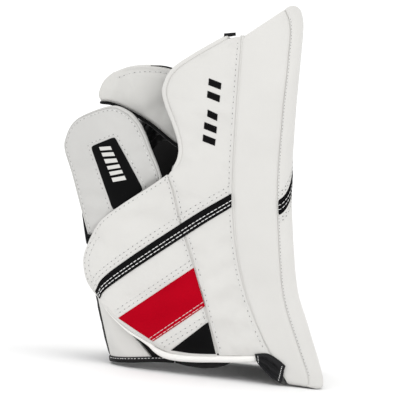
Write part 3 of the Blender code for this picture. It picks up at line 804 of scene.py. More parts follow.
# Painted shade: the needle holes are flat dark marks on the surface, coloured for the shade inside a hole.
NEEDLE_HOLE_SHADE = moulded("painted_hole_shade", (0.22, 0.22, 0.22), 0.8)
DARK_HOLE_SHADE = moulded("dark_painted_hole_shade", (0.008, 0.008, 0.008), 0.8)
LINED = (WHITE, NYLON)
ON_WHITE = (WHITE_THREAD, NEEDLE_HOLE_SHADE)
BRIGHT = (BRIGHT_THREAD, DARK_HOLE_SHADE)
ROOT = "board_and_cuff"


def thread_rows(name, rows, thread=0.42, length=3.8, finishes=BRIGHT):
    """Rows of thread that lies nearly end to end, with no needle holes showing."""
    return stitches(name, ROOT, finishes, rows, pitch=4.2, length=length, thread=thread, hole=0)


# ---- board -----------------------------------------------------------------------------
def rounded_end(radius):
    """(distance from the end, depth) pairs of a rolled edge: return, then rounding."""
    turn = [(0.0, FACE_RETURN), (0.0, radius)]
    for angle in (15, 30, 45, 60, 75, 90):
        angle = math.radians(angle)
        turn.append((radius * (1 - math.cos(angle)), radius * (1 - math.sin(angle))))
    return turn


def face_stations(length, step, first_round=BOARD_ROUND):
    """(distance from one end, depth) pairs: rolled edge, flat, rolled edge."""
    flat = length - first_round - BOARD_ROUND
    cells = round(flat / step)
    middle = [(first_round + flat * k / cells, 0.0) for k in range(1, cells)]
    last = [(length - distance, depth) for distance, depth in reversed(rounded_end(BOARD_ROUND))]
    return rounded_end(first_round) + middle + last


def plan_rounded(y, along):
    """Round the board's corners in plan."""
    reach_y = abs(y) - (HALF_WIDTH - PLAN_ROUND)
    end = BOARD_LENGTH if along > BOARD_LENGTH / 2 else 0.0
    reach_z = PLAN_ROUND - abs(end - along)
    if reach_y <= 0 or reach_z <= 0:
        return y, along
    pull = max(reach_y, reach_z) / math.hypot(reach_y, reach_z)
    y = math.copysign(HALF_WIDTH - PLAN_ROUND + reach_y * pull, y)
    inset = PLAN_ROUND - reach_z * pull
    return y, inset if end == 0.0 else end - inset


def face_point(y, along, depth):
    y, along = plan_rounded(y, along)
    x, z = board_point(along / BOARD_LENGTH, depth)
    return Vector((x, y, z))


def build_board():
    rows = []
    for along, depth_z in face_stations(BOARD_LENGTH, 6.0, LOW_END_ROUND):
        row = []
        for place, depth_y in face_stations(2 * HALF_WIDTH, 6.5):
            point = face_point(place - HALF_WIDTH, along, max(depth_y, depth_z))
            if max(depth_y, depth_z) < BOARD_ROUND:
                point.x += leather_wave(point, 0.35) - 0.2
            row.append(point)
        rows.append(row)
    face = own(shell("board_face_leather", [WHITE], rows, COVER, Vector((1, 0, 0))), ROOT,
               ["board_face_cover"])

    rows = []
    for step in range(11):
        share = step / 10
        row = []
        for side, cells in enumerate((40, 88, 40, 88)):
            for index in range(cells):
                travel = index / cells
                if side == 0:
                    y, along = -HALF_WIDTH + 2 * HALF_WIDTH * travel, 0.0
                elif side == 1:
                    y, along = HALF_WIDTH, BOARD_LENGTH * travel
                elif side == 2:
                    y, along = HALF_WIDTH - 2 * HALF_WIDTH * travel, BOARD_LENGTH
                else:
                    y, along = -HALF_WIDTH, BOARD_LENGTH * (1 - travel)
                y, along = plan_rounded(y, along)
                t = along / BOARD_LENGTH
                low = FACE_RETURN - 1.4
                deep = board_thickness(t) - low
                x, z = board_point(t, low + deep * share)
                edge = min(share, 1 - share) * deep
                front = share * deep
                tuck = 0.8 * math.exp(-(edge / 1.2) ** 2) + 0.6 * math.exp(-(front / 1.6) ** 2)
                bulge = (leather_wave(Vector((x, y, z)), 0.45) - 0.45) * min(edge / 10, 1) - tuck
                scale = 1 + bulge / HALF_WIDTH
                row.append(Vector((x, y * scale, z)))
        rows.append(row)
    gusset = own(shell("board_side_leather", [WHITE], rows, COVER, lambda p: Vector((0, p.y, 0)), ring=True),
                 ROOT, ["board_side_gusset"])

    rows = []
    for step in range(49):
        t = 0.018 + 0.962 * step / 48
        row = []
        for index in range(25):
            y = (HALF_WIDTH - COVER - 1.0) * (1 - 2 * index / 24)
            x, z = board_point(t, board_thickness(t) - 0.6)
            quilt = 0.8 * abs(math.sin(step * math.pi / 8)) * abs(math.sin(index * math.pi / 6))
            row.append(Vector((x - quilt + leather_wave(Vector((x, y, z)), 0.3), y, z)))
        rows.append(row)
    own(shell("board_back_cloth", [NYLON], rows, COVER, Vector((-1, 0, 0))), ROOT,
        ["board_back_cover"])
    for node, finish in (("board_foam_core", FOAM), ("board_stiffener_sheet", PLASTIC)):
        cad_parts[node].data.materials.clear()
        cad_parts[node].data.materials.append(finish)
    return face, gusset


def face_line(band_share, lift):
    """(point, outward way) pairs across the board's face and flanks, a share of the way up its band."""
    line = []
    stations_across = face_stations(2 * HALF_WIDTH, 6.5)[1:-1]
    for place, depth in [(0.0, BAND_END)] + stations_across + [(2 * HALF_WIDTH, BAND_END)]:
        y = place - HALF_WIDTH
        turn = min(depth / BOARD_ROUND, 1.0)
        faced = math.asin(1 - turn) / (math.pi / 2)
        climbed = faced if y < 0 else 1.0
        foot = BAND_FOOT + BAND_CLIMB * climbed ** 1.6 + BAND_SLOPE * place
        along = foot + (BAND_WIDTH + BAND_FLARE * faced) * band_share
        point = face_point(y, along, depth)
        if depth < BOARD_ROUND:
            point.x += leather_wave(point, 0.35) - 0.2
        out = Vector((1 - turn, math.copysign(turn, y), 0)).normalized()
        line.append((point + out * lift, out))
    return line


def fine_track(line, close=0.7):
    """The pairs of a coarse line, filled in to a close spacing."""
    track = []
    for (first, first_way), (second, second_way) in zip(line, line[1:]):
        cells = max(1, round((second - first).length / close))
        for index in range(cells):
            share = index / cells
            track.append((first.lerp(second, share), first_way.lerp(second_way, share).normalized()))
    return track


def build_face_band():
    """Diagonal black band over the board's face, with two rows of bright stitching."""
    rows = [[point for point, _ in face_line(k / 4, 0.6)] for k in range(5)]
    own(shell("board_face_band", [BLACK], rows, APPLIQUE, lambda p: Vector((1, p.y * 0.02, 0))), ROOT,
        ["board_face_stripe"])
    bright = [fine_track(face_line(share, 0.7)) for share in (0.36, 0.64)]
    thread_rows("board_band_stitching", bright, thread=0.3)
    beside = [fine_track(face_line(share, 0.05)) for share in (-0.42, -0.2, 1.2, 1.42)]
    stitches("board_face_stitching", ROOT, ON_WHITE, beside)


# ---- thumb-side wall -------------------------------------------------------------------
def build_near_wall():
    inset = lambda t: 3.7 * smooth_step(t / 0.08)
    rim_inner = [tuple(p) for p in offset_line(SHIELD_RIM, inset, 14)]
    left = [(36.0, 22.2)] + WALL_SEAM[1:-1] + rim_inner
    right = back_edge(27.5, 329.6, 0.4)
    outer = on_face(near_face, between(left, right))
    wall = own(panel("side_wall_pad", LINED, outer, PAD, crown=1.2, wave=0.35, swell=1.6), ROOT,
               ["side_wall_panel", "side_wall_foam"])

    rim = offset_line(SHIELD_RIM, 2.2, 60)
    rim[-1] = Vector((11.5, 328.8))
    own(welt("side_wall_rim", [WHITE], rim, near_face, 3.0, lambda s: 2.8 * smooth_step(0.3 + s * 9), 2.6),
        ROOT, ["side_wall_rim_roll"])
    back_line = samples(back_edge(26, 330.5, -0.6), 60)
    own(welt("side_wall_back_seam", [WHITE], back_line, near_face, 2.6, 2.0, 1.5), ROOT)
    own(welt("side_wall_seam", [WHITE], samples(WALL_SEAM, 60), near_face, 2.7, 2.2, 1.5), ROOT)
    own(welt("side_wall_rim_back", [BINDING], offset_line(SHIELD_RIM, 2.6, 60), near_face, 9.0, 2.0, 3.6),
        ROOT)

    lining_left = [(-26, 189), *SHIELD_RIM[1:]]
    lining_right = back_edge(189, 326, 3.0)
    lining = behind(on_face(near_face, between(lining_left, lining_right)), PAD + 0.4)
    own(panel("side_wall_lining_cloth", [NYLON], lining, LINING + 1.0, radius=0.6, wave=0.3), ROOT,
        ["side_wall_lining"])

    bottom = [(-6, 9.6), (8, 7.8), (24, 7.8), (39, 11), (50, 17.4), (66, 31), (74, 40)]
    cuff_right = back_edge(40, 188, 3.0)
    bottom[-1] = cuff_right[0]
    cuff_edge = [bottom[0], (-5, 98), (-16, 140), (-28, 188)]
    cuff = coons(bottom, [cuff_edge[-1], cuff_right[-1]], cuff_edge, cuff_right)
    liner = on_face(near_face, cuff)

    def bulging(a, b, d):
        """The liner is fullest at its hem, which shows below the piping."""
        return liner(a, b, d + 11.6 - 3.0 * math.exp(-b * 14) * math.sin(math.pi * min(a * 1.15, 1)))

    own(panel("cuff_liner_pad", [NYLON], bulging, 3.4, radius=1.6, crown=0.6, wave=0.5), ROOT,
        ["cuff_near_lining"])
    tab = quad([(8.6, 327.4), (19.6, 330.2), (19.2, 332.6), (8.2, 330.6)])
    own(panel("side_wall_top_tab", [BINDING], behind(on_face(near_face, tab), 0.3), 9.0, radius=0.8,
              step=2.0, wave=0.0, back_radius=0.8), ROOT, ["side_wall_top_binding"])
    return wall


def build_wrap():
    seam = [(34.8, 21.0)] + [(x - 1.2, z) for x, z in WALL_SEAM[1:]]
    bottom = [(x, z + 0.3) if x < -40 else (x, z - 2.8) for x, z in WRAP_BOTTOM[:-1]] + [seam[0]]
    edge = [bottom[0]] + WRAP_EDGE[1:]
    top = WRAP_TOP[:-1] + [seam[-1]]
    wrap = coons(bottom, top, edge, seam)
    cloth = panel("cuff_wrap_pad", LINED, on_face(near_face, wrap), 3.9, crown=0.9, wave=0.5,
                  back_radius=1.0, swell=1.8)
    pad = own(cloth, ROOT, ["cuff_wrap_panel", "cuff_wrap_lining"])

    def thickness(share):
        """Thin along the wrap's lower edge, and full where it rolls round the cuff's mouth."""
        return 0.6 + 0.9 * smooth_step(share / 0.3) + 2.1 * smooth_step((share - 0.3) / 0.22)
    # The piping takes the lightened white leather: painted highlight.
    own(welt("cuff_bottom_welt", [HIGHLIT_ROLL_WHITE], samples(PIPING, 110), near_face, 2.6, thickness,
             lambda share: 1.5 + 0.4 * thickness(share)), ROOT, ["cuff_bottom_piping"])
    return pad


def build_near_trim(wall, wrap):
    """Band, red and dark panels and all stitching of the thumb side."""
    bases = surfaces_of(wrap, wall)
    band = stacked(BAND_LOW, BAND_TOP)
    strip = applique("side_band", ROOT, [BLACK], band, bases, "near",
                     nodes=["side_stripe_band"])
    red = applique("red_side_panel", ROOT, [RED], quad(RED_CORNERS), bases, "near",
                   thick=0.9, nodes=["red_panel"])
    dark_edge = stacked([(-10.6, 22.6), (10, 21.8), (32.8, 23.6)], [(19.8, 51.5), (22.2, 53.2)])
    applique("dark_side_panel", ROOT, [BLACK], dark_edge, bases, "near", thick=0.9,
             nodes=["dark_panel"])

    on_band = surfaces_of(strip)
    rows = [sewn(on_band, [band(k / 60, share) for k in range(61)], "near") for share in (0.50, 0.24)]
    thread_rows("band_stitching", rows)
    on_red = surfaces_of(red)
    red_patch = quad(RED_CORNERS)
    rows = [sewn(on_red, [red_patch(share, 0.01 + 0.98 * k / 40) for k in range(41)], "near")
            for share in (0.885, 0.965)]
    thread_rows("red_panel_stitching", rows, 0.36, 4.1, (PALE_THREAD, DARK_HOLE_SHADE))

    rows = []
    for line, distances, count in ((BAND_TOP, (-3.4, -7.2), 60),
                                   ([RED_CORNERS[0], RED_CORNERS[3]], (-3.6, -7.4), 40),
                                   ([(-25, 28.5), (19.8, 63.5)], (3.0, 7.4), 30),
                                   (WALL_SEAM, (-3.4, 3.0), 60),
                                   (WRAP_EDGE + [(-97, 128)], (2.6, 6.8), 40),
                                   (WRAP_TOP, (3.0,), 50)):
        for away in distances:
            rows.append(sewn(bases, offset_line(line, away, count), "near"))
    along_back = [(board_back_x(32 + 290 * k / 30) - 3.4, 32 + 290 * k / 30) for k in range(31)]
    rows.append(sewn(bases, samples(along_back, 80), "near"))
    stitches("thumb_side_stitching", ROOT, ON_WHITE, rows)
    build_wall_mark(bases)


def build_wall_mark(bases):
    """Plain slanted bars where such a glove carries its maker's print."""
    bars = [(288, 12.5), (276, 12.5), (258, 10.0), (246, 12.5), (234, 12.5)]
    for index, (top, width) in enumerate(bars):
        x = -1.5 if index != 2 else 0.5
        corners = [(x, top - 8.5), (x + width, top - 12.0), (x + width, top - 5.5), (x, top - 2.0)]
        applique(f"side_mark_{index + 1}", ROOT, [BLACK], quad(corners), bases, "near",
                 thick=0.35, step=2.0)


# ---- cuff ------------------------------------------------------------------------------
def cuff_left(z):
    line = smooth_line([(-70.5, 0), (-83, 35), (-93, 66), (-101, 110), (-103, 150)])
    return line(min(max(z, 0) / 153, 1)).x


def cuff_path(share, z, start_x, start_y, radius, end_y):
    """Point on the path from the flat wall, round the corner, and along the palm side."""
    left = cuff_left(z)
    flat = start_x - (left + radius)
    turn = math.pi * radius / 2
    palm = abs(end_y - start_y) - radius
    way = share * (flat + turn + palm)
    if way < flat:
        return start_x - way, start_y
    if way < flat + turn:
        angle = (way - flat) / radius
        return left + radius - radius * math.sin(angle), start_y + radius * (1 - math.cos(angle))
    return left, start_y + radius + way - flat - turn


def wing_low(share):
    return 7.4 + 7.5 * (1 - smooth_step(share * 1.7)) ** 1.2


def wing_corner(z):
    """Share of the cuff's path at which it has all but turned to the palm side."""
    flat = WING_FRONT - cuff_left(z) - WING_ROUND
    return (flat + WING_ROUND * 1.3) / (flat + WING_ROUND * (math.pi / 2) + WING_PALM)


def wing(first, last, lift=0.0):
    """Cuff from one share of its path to another, each a number or a function of height."""
    near_y = NEAR_FACE + 9.5

    def place(a, b, depth):
        depth += lift
        start, end = (edge(10 + 90 * b) if callable(edge) else edge for edge in (first, last))
        share = start + (end - start) * (1 - a)
        low = wing_low(share)
        z = low + (97 + 51 * smooth_step((share - 0.68) * 6) - low) * b
        x, y = cuff_path(share, z, WING_FRONT - depth, near_y + depth, WING_ROUND - depth, PALM_MIDDLE)
        return Vector((x + depth, y, z))
    return place


def far_cuff(start=0.0):
    """Cuff on the little-finger side, from the board's back round the corner to the palm side."""
    def place(a, b, depth):
        depth += start
        low = 8 + 16 * smooth_step((a - 0.45) * 2)
        z = low + (148 - low) * b
        back_x = board_back_x(z) - 2.0
        left = cuff_left(z)
        flat = back_x - (left + FAR_ROUND)
        turn = math.pi * FAR_ROUND / 2
        way = (flat + turn + FAR_PALM) * a
        if way < flat:
            return Vector((back_x - way, FAR_FACE - depth, z))
        if way < flat + turn:
            angle = (way - flat) / FAR_ROUND
            reach = FAR_ROUND - depth
            return Vector((left + FAR_ROUND - reach * math.sin(angle),
                           FAR_FACE - FAR_ROUND + reach * math.cos(angle), z))
        return Vector((left + depth, FAR_FACE - FAR_ROUND - (way - flat - turn), z))
    return place


def wing_start(z):
    """Share at which the white wing begins, leaning away from the hem."""
    return 0.165 + 0.0055 * min(z - 10, 27)


def hem_path(share, outset=0.0):
    """(x, y) on the line of the cuff's dark hem."""
    return cuff_path(share, 2.4, -7.0, NEAR_FACE + 11.0 - outset, 33.5 + outset, PALM_MIDDLE)


def build_cuff():
    own(panel("palm_wing_pad", LINED, wing(wing_start, wing_corner), 3.6, radius=1.2, crown=0.8, wave=0.7,
              swell=1.5), ROOT, ["palm_wing_panel"])
    palm_side = wing(lambda z: wing_corner(z) + 0.006, 1.0)
    own(panel("palm_cuff_cloth", [NYLON], palm_side, 3.4, radius=1.2, crown=0.6, wave=0.7, swell=1.2),
        ROOT, ["palm_cuff_panel"])
    own(panel("palm_wing_lining_cloth", [NYLON], wing(0.02, 0.98, 4.2), LINING, radius=0.6, wave=0.3), ROOT,
        ["palm_wing_lining"])
    centres, ups = [], []
    for index in range(61):
        share = index / 60
        x, y = hem_path(share)
        x_out, y_out = hem_path(share, outset=1.0)
        centres.append(Vector((x, y, max(wing_low(share) - 2.6, 2.9))))
        ups.append(Vector((x_out - x, y_out - y - 0.01, 0)))
    hem = own(sweep("palm_wing_hem", [BINDING], centres, ups, 2.8, 2.2, flat=True), ROOT,
              ["palm_wing_binding"])
    edge = [wing(wing_start, wing_corner)(0.0, k / 30, 1.4) for k in range(31)]
    out = [Vector((-1, -0.3, 0))] * 31
    own(sweep("palm_wing_edge", [BINDING], edge, out, 1.0, 1.4), ROOT)

    far_pad = own(panel("far_cuff_pad", LINED, far_cuff(), 3.6, radius=1.3, crown=0.9, wave=0.5, swell=1.6),
                  ROOT, ["far_cuff_panel"])
    own(panel("far_cuff_lining_cloth", [NYLON], far_cuff(4.2), LINING, radius=0.6, wave=0.3), ROOT,
        ["far_cuff_lining"])
    edge = back_edge(152, 304, 2.8)
    lobe = on_face(far_face, between(FAR_RIM, edge))
    far_wall = own(panel("far_wall_pad", LINED, lobe, 7.9, crown=1.0, wave=0.4, swell=1.6,
                         radius=2.4), ROOT, ["far_wall_panel", "far_wall_foam"])
    own(panel("far_wall_lining_cloth", [NYLON], behind(lobe, 8.3), LINING, radius=0.6, wave=0.3), ROOT,
        ["far_wall_lining"])
    return hem, far_pad, far_wall


# ---- glove -----------------------------------------------------------------------------
def build_hand():
    rows = []
    for level in range(26):
        b = level / 25
        row = []
        for index in range(72):
            angle = 2 * math.pi * index / 72
            y = 48 * math.copysign(abs(math.sin(angle)) ** 0.55, math.sin(angle))
            x = -12 + 22 * math.copysign(abs(math.cos(angle)) ** 0.55, math.cos(angle))
            top = 204 - 0.2 * (y + 48)
            z = 126 + (top - 126) * b
            point = Vector((x, y, z))
            fold = abs(noise.noise(Vector((z * 0.05, y * 0.09, 3)))) * 2.2 * math.sin(math.pi * b)
            inward = Vector((-12 - x, -0.4 * y, 0)).normalized()
            row.append(point + inward * fold)
        rows.append(row)
    own(shell("hand_sleeve", [HIGHLIT_PALM], rows, 2.0, lambda p: Vector((p.x + 12, p.y, 0)), ring=True), ROOT,
        ["glove_hand_sleeve"])

    def slab(name, finish, node, low, high, thick, radius, crown=0.0, wave=0.4):
        """Pad on a rectangle of (y, z) whose face looks to the palm: low and high are (x, y, z)."""
        def place(a, b, depth):
            return Vector((low[0] + depth, low[1] + (high[1] - low[1]) * a, low[2] + (high[2] - low[2]) * b))
        own(panel(name, [finish], place, thick, radius=radius, crown=crown, wave=wave, corner=8.0,
                  back_radius=radius * 0.8), ROOT, [node])

    slab("palm_grip", HIGHLIT_PALM, "palm_grip_patch", (-37.2, -34, 134), (-34.6, 34, 180), 2.0, 0.9,
         crown=0.4, wave=0.25)
    slab("hand_back_cushion", HIGHLIT_PALM, "hand_back_pad", (11.0, -46, 132), (25.5, 46, 208),
         14.0, 5.0)
    slab("finger_back_cushion", WHITE, "finger_back_pad", (12.0, -40, 216), (24.5, 48, 318),
         12.0, 4.5)


def finger_rows(path, radius, rings=40, around=20, folds=6):
    """Rings of a gloved finger along a path, with creases on the inside of its bends."""
    at = smooth_line(path)
    rows = []
    for step in range(rings):
        t = step / (rings - 1)
        centre = at(t)
        ahead = (at(min(t + 0.02, 1.0)) - at(max(t - 0.02, 0.0))).normalized()
        side = Vector((0, 1, 0))
        across = (side - ahead * side.dot(ahead)).normalized()
        up = ahead.cross(across).normalized()
        tip = max(t - 0.86, 0.0) / 0.14
        slim = radius * math.sqrt(max(1 - tip * tip * 0.93, 0.02)) * 0.985
        folded = smooth_step((t - 0.12) * 8) * smooth_step((0.9 - t) * 9)
        crease = math.sin(t * math.pi * 2 * folds) ** 2 * folded
        row = []
        for k in range(around):
            angle = 2 * math.pi * k / around
            inner = max(math.sin(angle), 0.0)
            rough = noise.noise(Vector((t * 9, math.cos(angle) * 1.6, math.sin(angle) * 1.6 + path[0][1])))
            dent = 1.3 * crease * inner * inner + 0.45 * rough
            row.append(centre + (across * math.cos(angle) + up * math.sin(angle)) * (slim - 0.5 - dent))
        rows.append(row)
    return rows


def finger_piece(name, node, body, path, radius):
    rows = finger_rows(path, radius)
    middle = [sum(row, Vector()) / len(row) for row in rows]

    def outward(point):
        nearest = min(middle, key=lambda centre: (centre - point).length)
        return (point - nearest).normalized()
    own(shell(name, [HIGHLIT_PALM], rows, STALL_WALL, outward, tip=True, ring=True), body, [node])
    for side, place in (("a", 0), ("b", len(rows[0]) // 2)):
        line = [row[place] for row in rows[1:-2]]
        ups = [(point - centre).normalized() for point, centre in zip(line, middle[1:-2])]
        own(sweep(f"{name}_seam_{side}", [BLACK], line, ups, 0.55, 0.75, sides=6), body)


def build_fingers():
    for name, y, knuckle in FINGERS:
        path = [(-12, y, knuckle), (-13, y, knuckle + 22), (-24, y, knuckle + 40), (-44, y, knuckle + 47),
                (-62, y, knuckle + 39), (-71, y, knuckle + 22)]
        if name == "index":
            path = [(-12, y, 208), (-13, y, 232), (-24, y, 256), (-44, y, 267), (-66, y, 268), (-86, y, 264)]
        finger_piece(f"{name}_finger", f"{name}_finger_stall", f"{name}_finger", path, STALL_RADIUS)
    path = [(-44, -50, 150), (-48, -50, 166), (-62, -48, 186), (-78, -44, 206), (-88, -40, 222)]
    finger_piece("thumb_finger", "thumb_stall", "thumb_guard", path, 11.5)


# ---- guards ----------------------------------------------------------------------------
def line_distance(point, start, end):
    start, end = Vector(start), Vector(end)
    here = Vector((point.x, point.z))
    share = min(max((here - start).dot(end - start) / (end - start).length_squared, 0), 1)
    return (here - start.lerp(end, share)).length


def inset_loop(left, top, right, distance):
    """The left, top and right edges of an outline, moved inwards."""
    return ([tuple(p) for p in offset_line(left, distance, 14)],
            [tuple(p) for p in offset_line(top, distance, 14)],
            [tuple(p) for p in offset_line(right, -distance, 14)])


def join_corners(left, top, right, bottom):
    left[-1] = top[0] = tuple((Vector(left[-1]) + Vector(top[0])) / 2)
    right[-1] = top[-1] = tuple((Vector(right[-1]) + Vector(top[-1])) / 2)
    bottom = [left[0], *bottom[1:-1], right[0]]
    return coons(bottom, top, left, right)


def thumb_loop():
    """The thumb guard's outline, from its lower left round its top to its lower right."""
    return samples(THUMB_LEFT, 40) + samples(THUMB_TOP, 40)[1:] + samples(THUMB_RIGHT, 50)[::-1][1:]


def build_thumb_guard():
    inner = join_corners(*inset_loop(THUMB_LEFT, THUMB_TOP, THUMB_RIGHT, 2.6), THUMB_BOTTOM)

    def valley(point):
        """A fold down the middle of the guard, and a thinner foot where it goes in under the cuff's wrap."""
        beside = line_distance(point, (-80, 244), (-46, 168))
        over_wrap = point.z - (190 + (point.x + 31.5))
        return 2.6 * math.exp(-(beside / 8.0) ** 2) + 3.4 * smooth_step(1 - (over_wrap + 3) / 16)

    # The guard and its rim take the darkened white leather: painted shade.
    cloth = panel("thumb_guard_pad", (SHADED_SOFT_WHITE, NYLON), on_face(thumb_face, inner), 12.0, radius=1.8,
                  crown=2.0, wave=0.5, relief=valley, swell=1.6, step=4.0, back_radius=2.5)
    pad = own(cloth, "thumb_guard",
              ["thumb_guard_panel", "thumb_guard_foam", "thumb_guard_insert", "thumb_guard_lining"])
    loop = thumb_loop()
    rim = offset_line(loop, 1.8, 130)
    own(welt("thumb_guard_rim", [SHADED_SOFT_WHITE], rim, thumb_face, 4.6, 1.8, 4.0, sides=14), "thumb_guard")
    own(welt("thumb_guard_back_binding", [BINDING], offset_line(loop, 2.9, 130), thumb_face, 10.6, 2.2, 3.2),
        "thumb_guard")
    return pad


def build_thumb_trim(pad):
    bases = surfaces_of(pad)
    patch = between(PATCH_LEFT, PATCH_RIGHT)
    badge = applique("thumb_patch", "thumb_guard", [BLACK], patch, bases, "near", thick=0.9,
                     corner=3.0, nodes=["thumb_guard_patch"])
    on_badge = surfaces_of(badge)
    for index in range(6):
        low, high = 0.30 + 0.105 * index, 0.365 + 0.105 * index
        corners = [patch(0.30, low + 0.05), patch(0.70, low - 0.01), patch(0.70, high - 0.01),
                   patch(0.30, high + 0.05)]
        applique(f"thumb_mark_{index + 1}", "thumb_guard", [WHITE], quad(corners), on_badge,
                 "near", thick=0.35, step=2.0)
    rows = [sewn(bases, offset_line(thumb_loop(), 5.2, 130), "near")]
    around = ([patch(-0.09, k / 20) for k in range(21)] + [patch(k / 10, 1.045) for k in range(11)]
              + [patch(1.09, 1 - k / 20) for k in range(21)])
    rows.append(sewn(bases, around, "near"))
    stitches("thumb_guard_stitching", "thumb_guard", ON_WHITE, rows)


def build_index_guard():
    low = [(x, z + 0.4) for x, z in INDEX_BOTTOM]
    left = [low[0], *INDEX_LEFT[1:]]
    right = [low[-1], *INDEX_RIGHT[1:]]
    guard = coons(low, INDEX_TOP, left, right)

    def hollow(point):
        """The guard dips towards the finger shield and bulges above its lower roll."""
        dip = (4.0 * math.exp(-((point.x + 36) / 17.0) ** 2) * smooth_step((290 - point.z) / 30)
               * smooth_step((point.z - 236) / 26))
        return dip + 1.2 * math.exp(-((point.z - (289 - 0.0011 * (point.x + 60) ** 2)) / 1.8) ** 2)

    # The guard takes the darkened white leather: painted shade.
    cloth = panel("index_guard_pad", (SHADED_GUARD_WHITE, NYLON), on_face(index_face, guard), 11.6, radius=4.5,
                  crown=2.0, wave=0.5, relief=hollow, swell=2.2, step=4.0, back_radius=3.0)
    pad = own(cloth, "index_finger",
              ["index_guard_panel", "index_guard_foam", "index_guard_lining"])
    own(welt("index_guard_lower_binding", [BINDING], offset_line(INDEX_BOTTOM, 1.1, 60), index_face, 8.2,
             lambda s: 1.5 + 0.5 * smooth_step(s * 1.6), 4.2), "index_finger")
    trim = [(-62, 295.6), (-50, 295.9), (-43, 295.2), (-20, 291.0), (-2, 287.0)]
    own(welt("index_guard_top_binding", [BINDING], samples(trim, 40), index_face, 5.2,
             lambda s: 0.5 + 0.7 * smooth_step(s * 5), 5.4), "index_finger")
    return pad


def build_index_trim(pad):
    bases = surfaces_of(pad)
    rows = [sewn(bases, offset_line(INDEX_TOP, 7.6, 60), "near")]
    stitches("index_guard_stitching", "index_finger", ON_WHITE, rows)


# ---- straps ----------------------------------------------------------------------------
def build_straps():
    low_at, top_at = smooth_line(TIE_LOW), smooth_line(TIE_TOP)
    rows = []
    for index in range(34):
        a = index / 33
        low, top = low_at(a), top_at(a)
        row = []
        for step in range(17):
            b = step / 16
            pleat = 2.1 * math.cos(b * math.pi * 5 + 1.2 * a) * math.sin(math.pi * a) ** 0.7
            here = low.lerp(top, b)
            row.append(Vector((here.x, NEAR_FACE - 2.8 - pleat * 0.7, max(here.y, 0.8))))
        rows.append(row)
    strap = own(shell("board_tie", [ELASTIC], rows, 1.6, Vector((0, -1, 0))), ROOT,
                ["board_tie_strap"])
    tree = surfaces_of(strap)
    seams = []
    for share in (0.09, 0.90):
        low, top = low_at(share), top_at(share)
        seam = [Vector((p.x, 0, p.y)) for p in (low.lerp(top, b) for b in (0.06, 0.5, 0.94))]
        seams.append(lay_track(tree, seam, "near", 0.4))
    stitches("board_tie_stitching", ROOT, BRIGHT, seams, pitch=1.7, length=1.5,
             thread=0.32, hole=0)

    def strap_face(low, high, first, last, lift):
        """The strap's face between two heights and two shares of its length, bending in at its free end."""
        def place(a, b, depth):
            share = first + (last - first) * (1 - a)
            x = STRAP_X - 4.3 * (2 * b - 1) + 9 * (max(share - 0.45, 0) / 0.55) ** 2
            return Vector((x + depth + lift, STRAP_START + STRAP_LENGTH * share, low + (high - low) * b))
        return place

    band = own(panel("wrist_band", [ELASTIC], strap_face(112, 146, 0.0, 1.0, 0.0), 2.2, radius=0.8,
                     wave=0.35, corner=5.0), "wrist_strap", ["wrist_strap"])
    own(panel("wrist_band_hooks", [HOOK], strap_face(116, 142, 0.72, 0.97, 3.6), 1.2, radius=0.4, wave=0.1,
              corner=3.0), "wrist_strap", ["wrist_strap_hook_patch"])
    tree = surfaces_of(band)
    box = [(-20, 116), (-6, 116), (-6, 142), (-20, 142), (-20, 116), (-6, 142)]
    line = [Vector((0, y, z)) for y, z in box]
    stitches("wrist_band_stitching", "wrist_strap", BRIGHT,
             [lay_track(tree, line, "palm")], pitch=2.6, length=1.9, hole=0)


# ---- stitching away from the thumb side ------------------------------------------------
def build_board_stitching(face, gusset):
    trees = surfaces_of(face, gusset)
    rows = []
    for side, way in (("near", -1), ("far", 1)):
        line = []
        for k in range(90):
            x, z = board_point(0.03 + 0.94 * k / 89, 13.7)
            line.append(Vector((x, way * HALF_WIDTH, z)))
        rows.append(lay_track(trees, line, side))
    stitches("board_edge_stitching", ROOT, ON_WHITE, rows, pitch=3.2, length=2.1, hole=0.34)


def build_far_trim(far_pad, far_wall, hem):
    trees = surfaces_of(far_pad, far_wall)
    low, top = [(-62, 60), (38, 112)], [(-66, 72), (38, 125)]
    band = stacked(low, top)
    strip = applique("far_band", ROOT, [BLACK], band, trees, "far")
    on_band = surfaces_of(strip)
    rows = [sewn(on_band, [band(k / 40, share) for k in range(41)], "far") for share in (0.25, 0.5)]
    thread_rows("far_band_stitching", rows)
    lines = [offset_line(top, -3.6, 40), offset_line(top, -7.4, 40), offset_line(FAR_RIM, 6.5, 60),
             samples([(-50, 142), (24, 142)], 40)]
    rows = [sewn(trees, line, "far") for line in lines]
    stitches("far_side_stitching", ROOT, ON_WHITE, rows)
    red = quad([(-34, 20), (44, 22), (40, 92), (-30, 58)])
    applique("far_red_panel", ROOT, [RED], red, trees, "far", thick=0.9)

    on_hem = surfaces_of(hem)
    line = []
    for k in range(60):
        share = 0.02 + 0.55 * k / 59
        x, _ = hem_path(share)
        line.append(Vector((x, 0, max(wing_low(share) - 1.2, 3.4))))
    stitches("wing_hem_stitching", ROOT, BRIGHT, [lay_track(on_hem, line, "near")],
             pitch=3.4, length=2.4, hole=0)


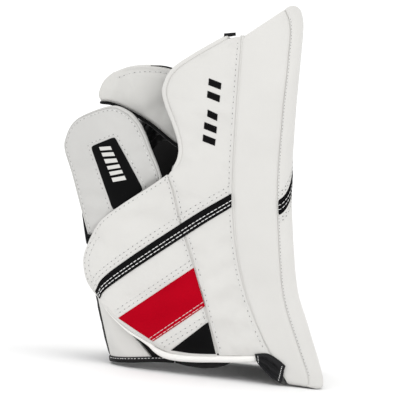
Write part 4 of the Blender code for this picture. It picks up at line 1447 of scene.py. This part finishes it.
# ---- studio ----------------------------------------------------------------------------
def build_studio():
    """Pale floor, soft white light all round, and the camera on the thumb side."""
    reach = 6000.0
    corners = [Vector((-reach, -reach, 0)), Vector((reach, -reach, 0)), Vector((reach, reach, 0)),
               Vector((-reach, reach, 0))]
    made_object("studio_floor", corners, [(0, 1, 2, 3)], [floor_finish()])

    world = bpy.data.worlds.new("studio")
    bpy.context.scene.world = world
    world.use_nodes = True
    world.node_tree.nodes["Background"].inputs["Color"].default_value = (1.0, 1.0, 1.0, 1.0)
    world.node_tree.nodes["Background"].inputs["Strength"].default_value = 1.18

    def soft_light(name, place, aim, power, size):
        light = bpy.data.lights.new(name, "AREA")
        light.energy = power
        light.shape = "DISK"
        light.size = size
        holder = bpy.data.objects.new(name, light)
        holder.location = place
        holder.rotation_mode = "QUATERNION"
        holder.rotation_quaternion = (Vector(aim) - Vector(place)).to_track_quat("-Z", "Y")
        bpy.context.scene.collection.objects.link(holder)

    soft_light("key", (-0.3, -1.3, 1.5), (0.0, 0.0, 0.17), power=2.4, size=1.6)
    soft_light("fill", (0.7, -1.5, 0.4), (0.0, 0.0, 0.12), power=1.2, size=1.2)
    soft_light("low_fill", (-0.6, -1.6, 0.3), (0.0, 0.0, 0.12), power=1.4, size=1.2)
    soft_light("rear", (-0.4, 1.2, 1.3), (0.0, 0.0, 0.2), power=2.0, size=1.2)

    pixel, picture_width = 0.96 * MM, 400       # metres per pixel at the thumb-side wall, pixels
    distance, sensor = 1.6, 36.0
    azimuth, roll = math.radians(3.0), math.radians(6.0)
    target = Vector((-0.003, 0.0, 0.169))
    away = Vector((math.sin(azimuth), -math.cos(azimuth), 0.0))
    data = bpy.data.cameras.new("camera")
    camera = bpy.data.objects.new("camera", data)
    bpy.context.scene.collection.objects.link(camera)
    facing = (-away).to_track_quat("-Z", "Y").to_matrix().to_4x4()
    camera.matrix_world = (Matrix.Translation(target + away * distance) @ facing
                           @ Matrix.Rotation(roll, 4, "Z"))
    data.sensor_width = sensor
    data.lens = sensor * (distance - HALF_WIDTH * MM * math.cos(azimuth)) / pixel / picture_width
    bpy.context.scene.camera = camera
    bpy.context.scene.view_settings.view_transform = "Standard"


def build_looks():
    face, gusset = build_board()
    build_face_band()
    wall = build_near_wall()
    wrap = build_wrap()
    hem, far_pad, far_wall = build_cuff()
    build_hand()
    build_fingers()
    thumb = build_thumb_guard()
    index = build_index_guard()
    blow_up(swelling)
    build_near_trim(wall, wrap)
    build_thumb_trim(thumb)
    build_index_trim(index)
    build_straps()
    build_board_stitching(face, gusset)
    build_far_trim(far_pad, far_wall, hem)


build_studio()
build_looks()
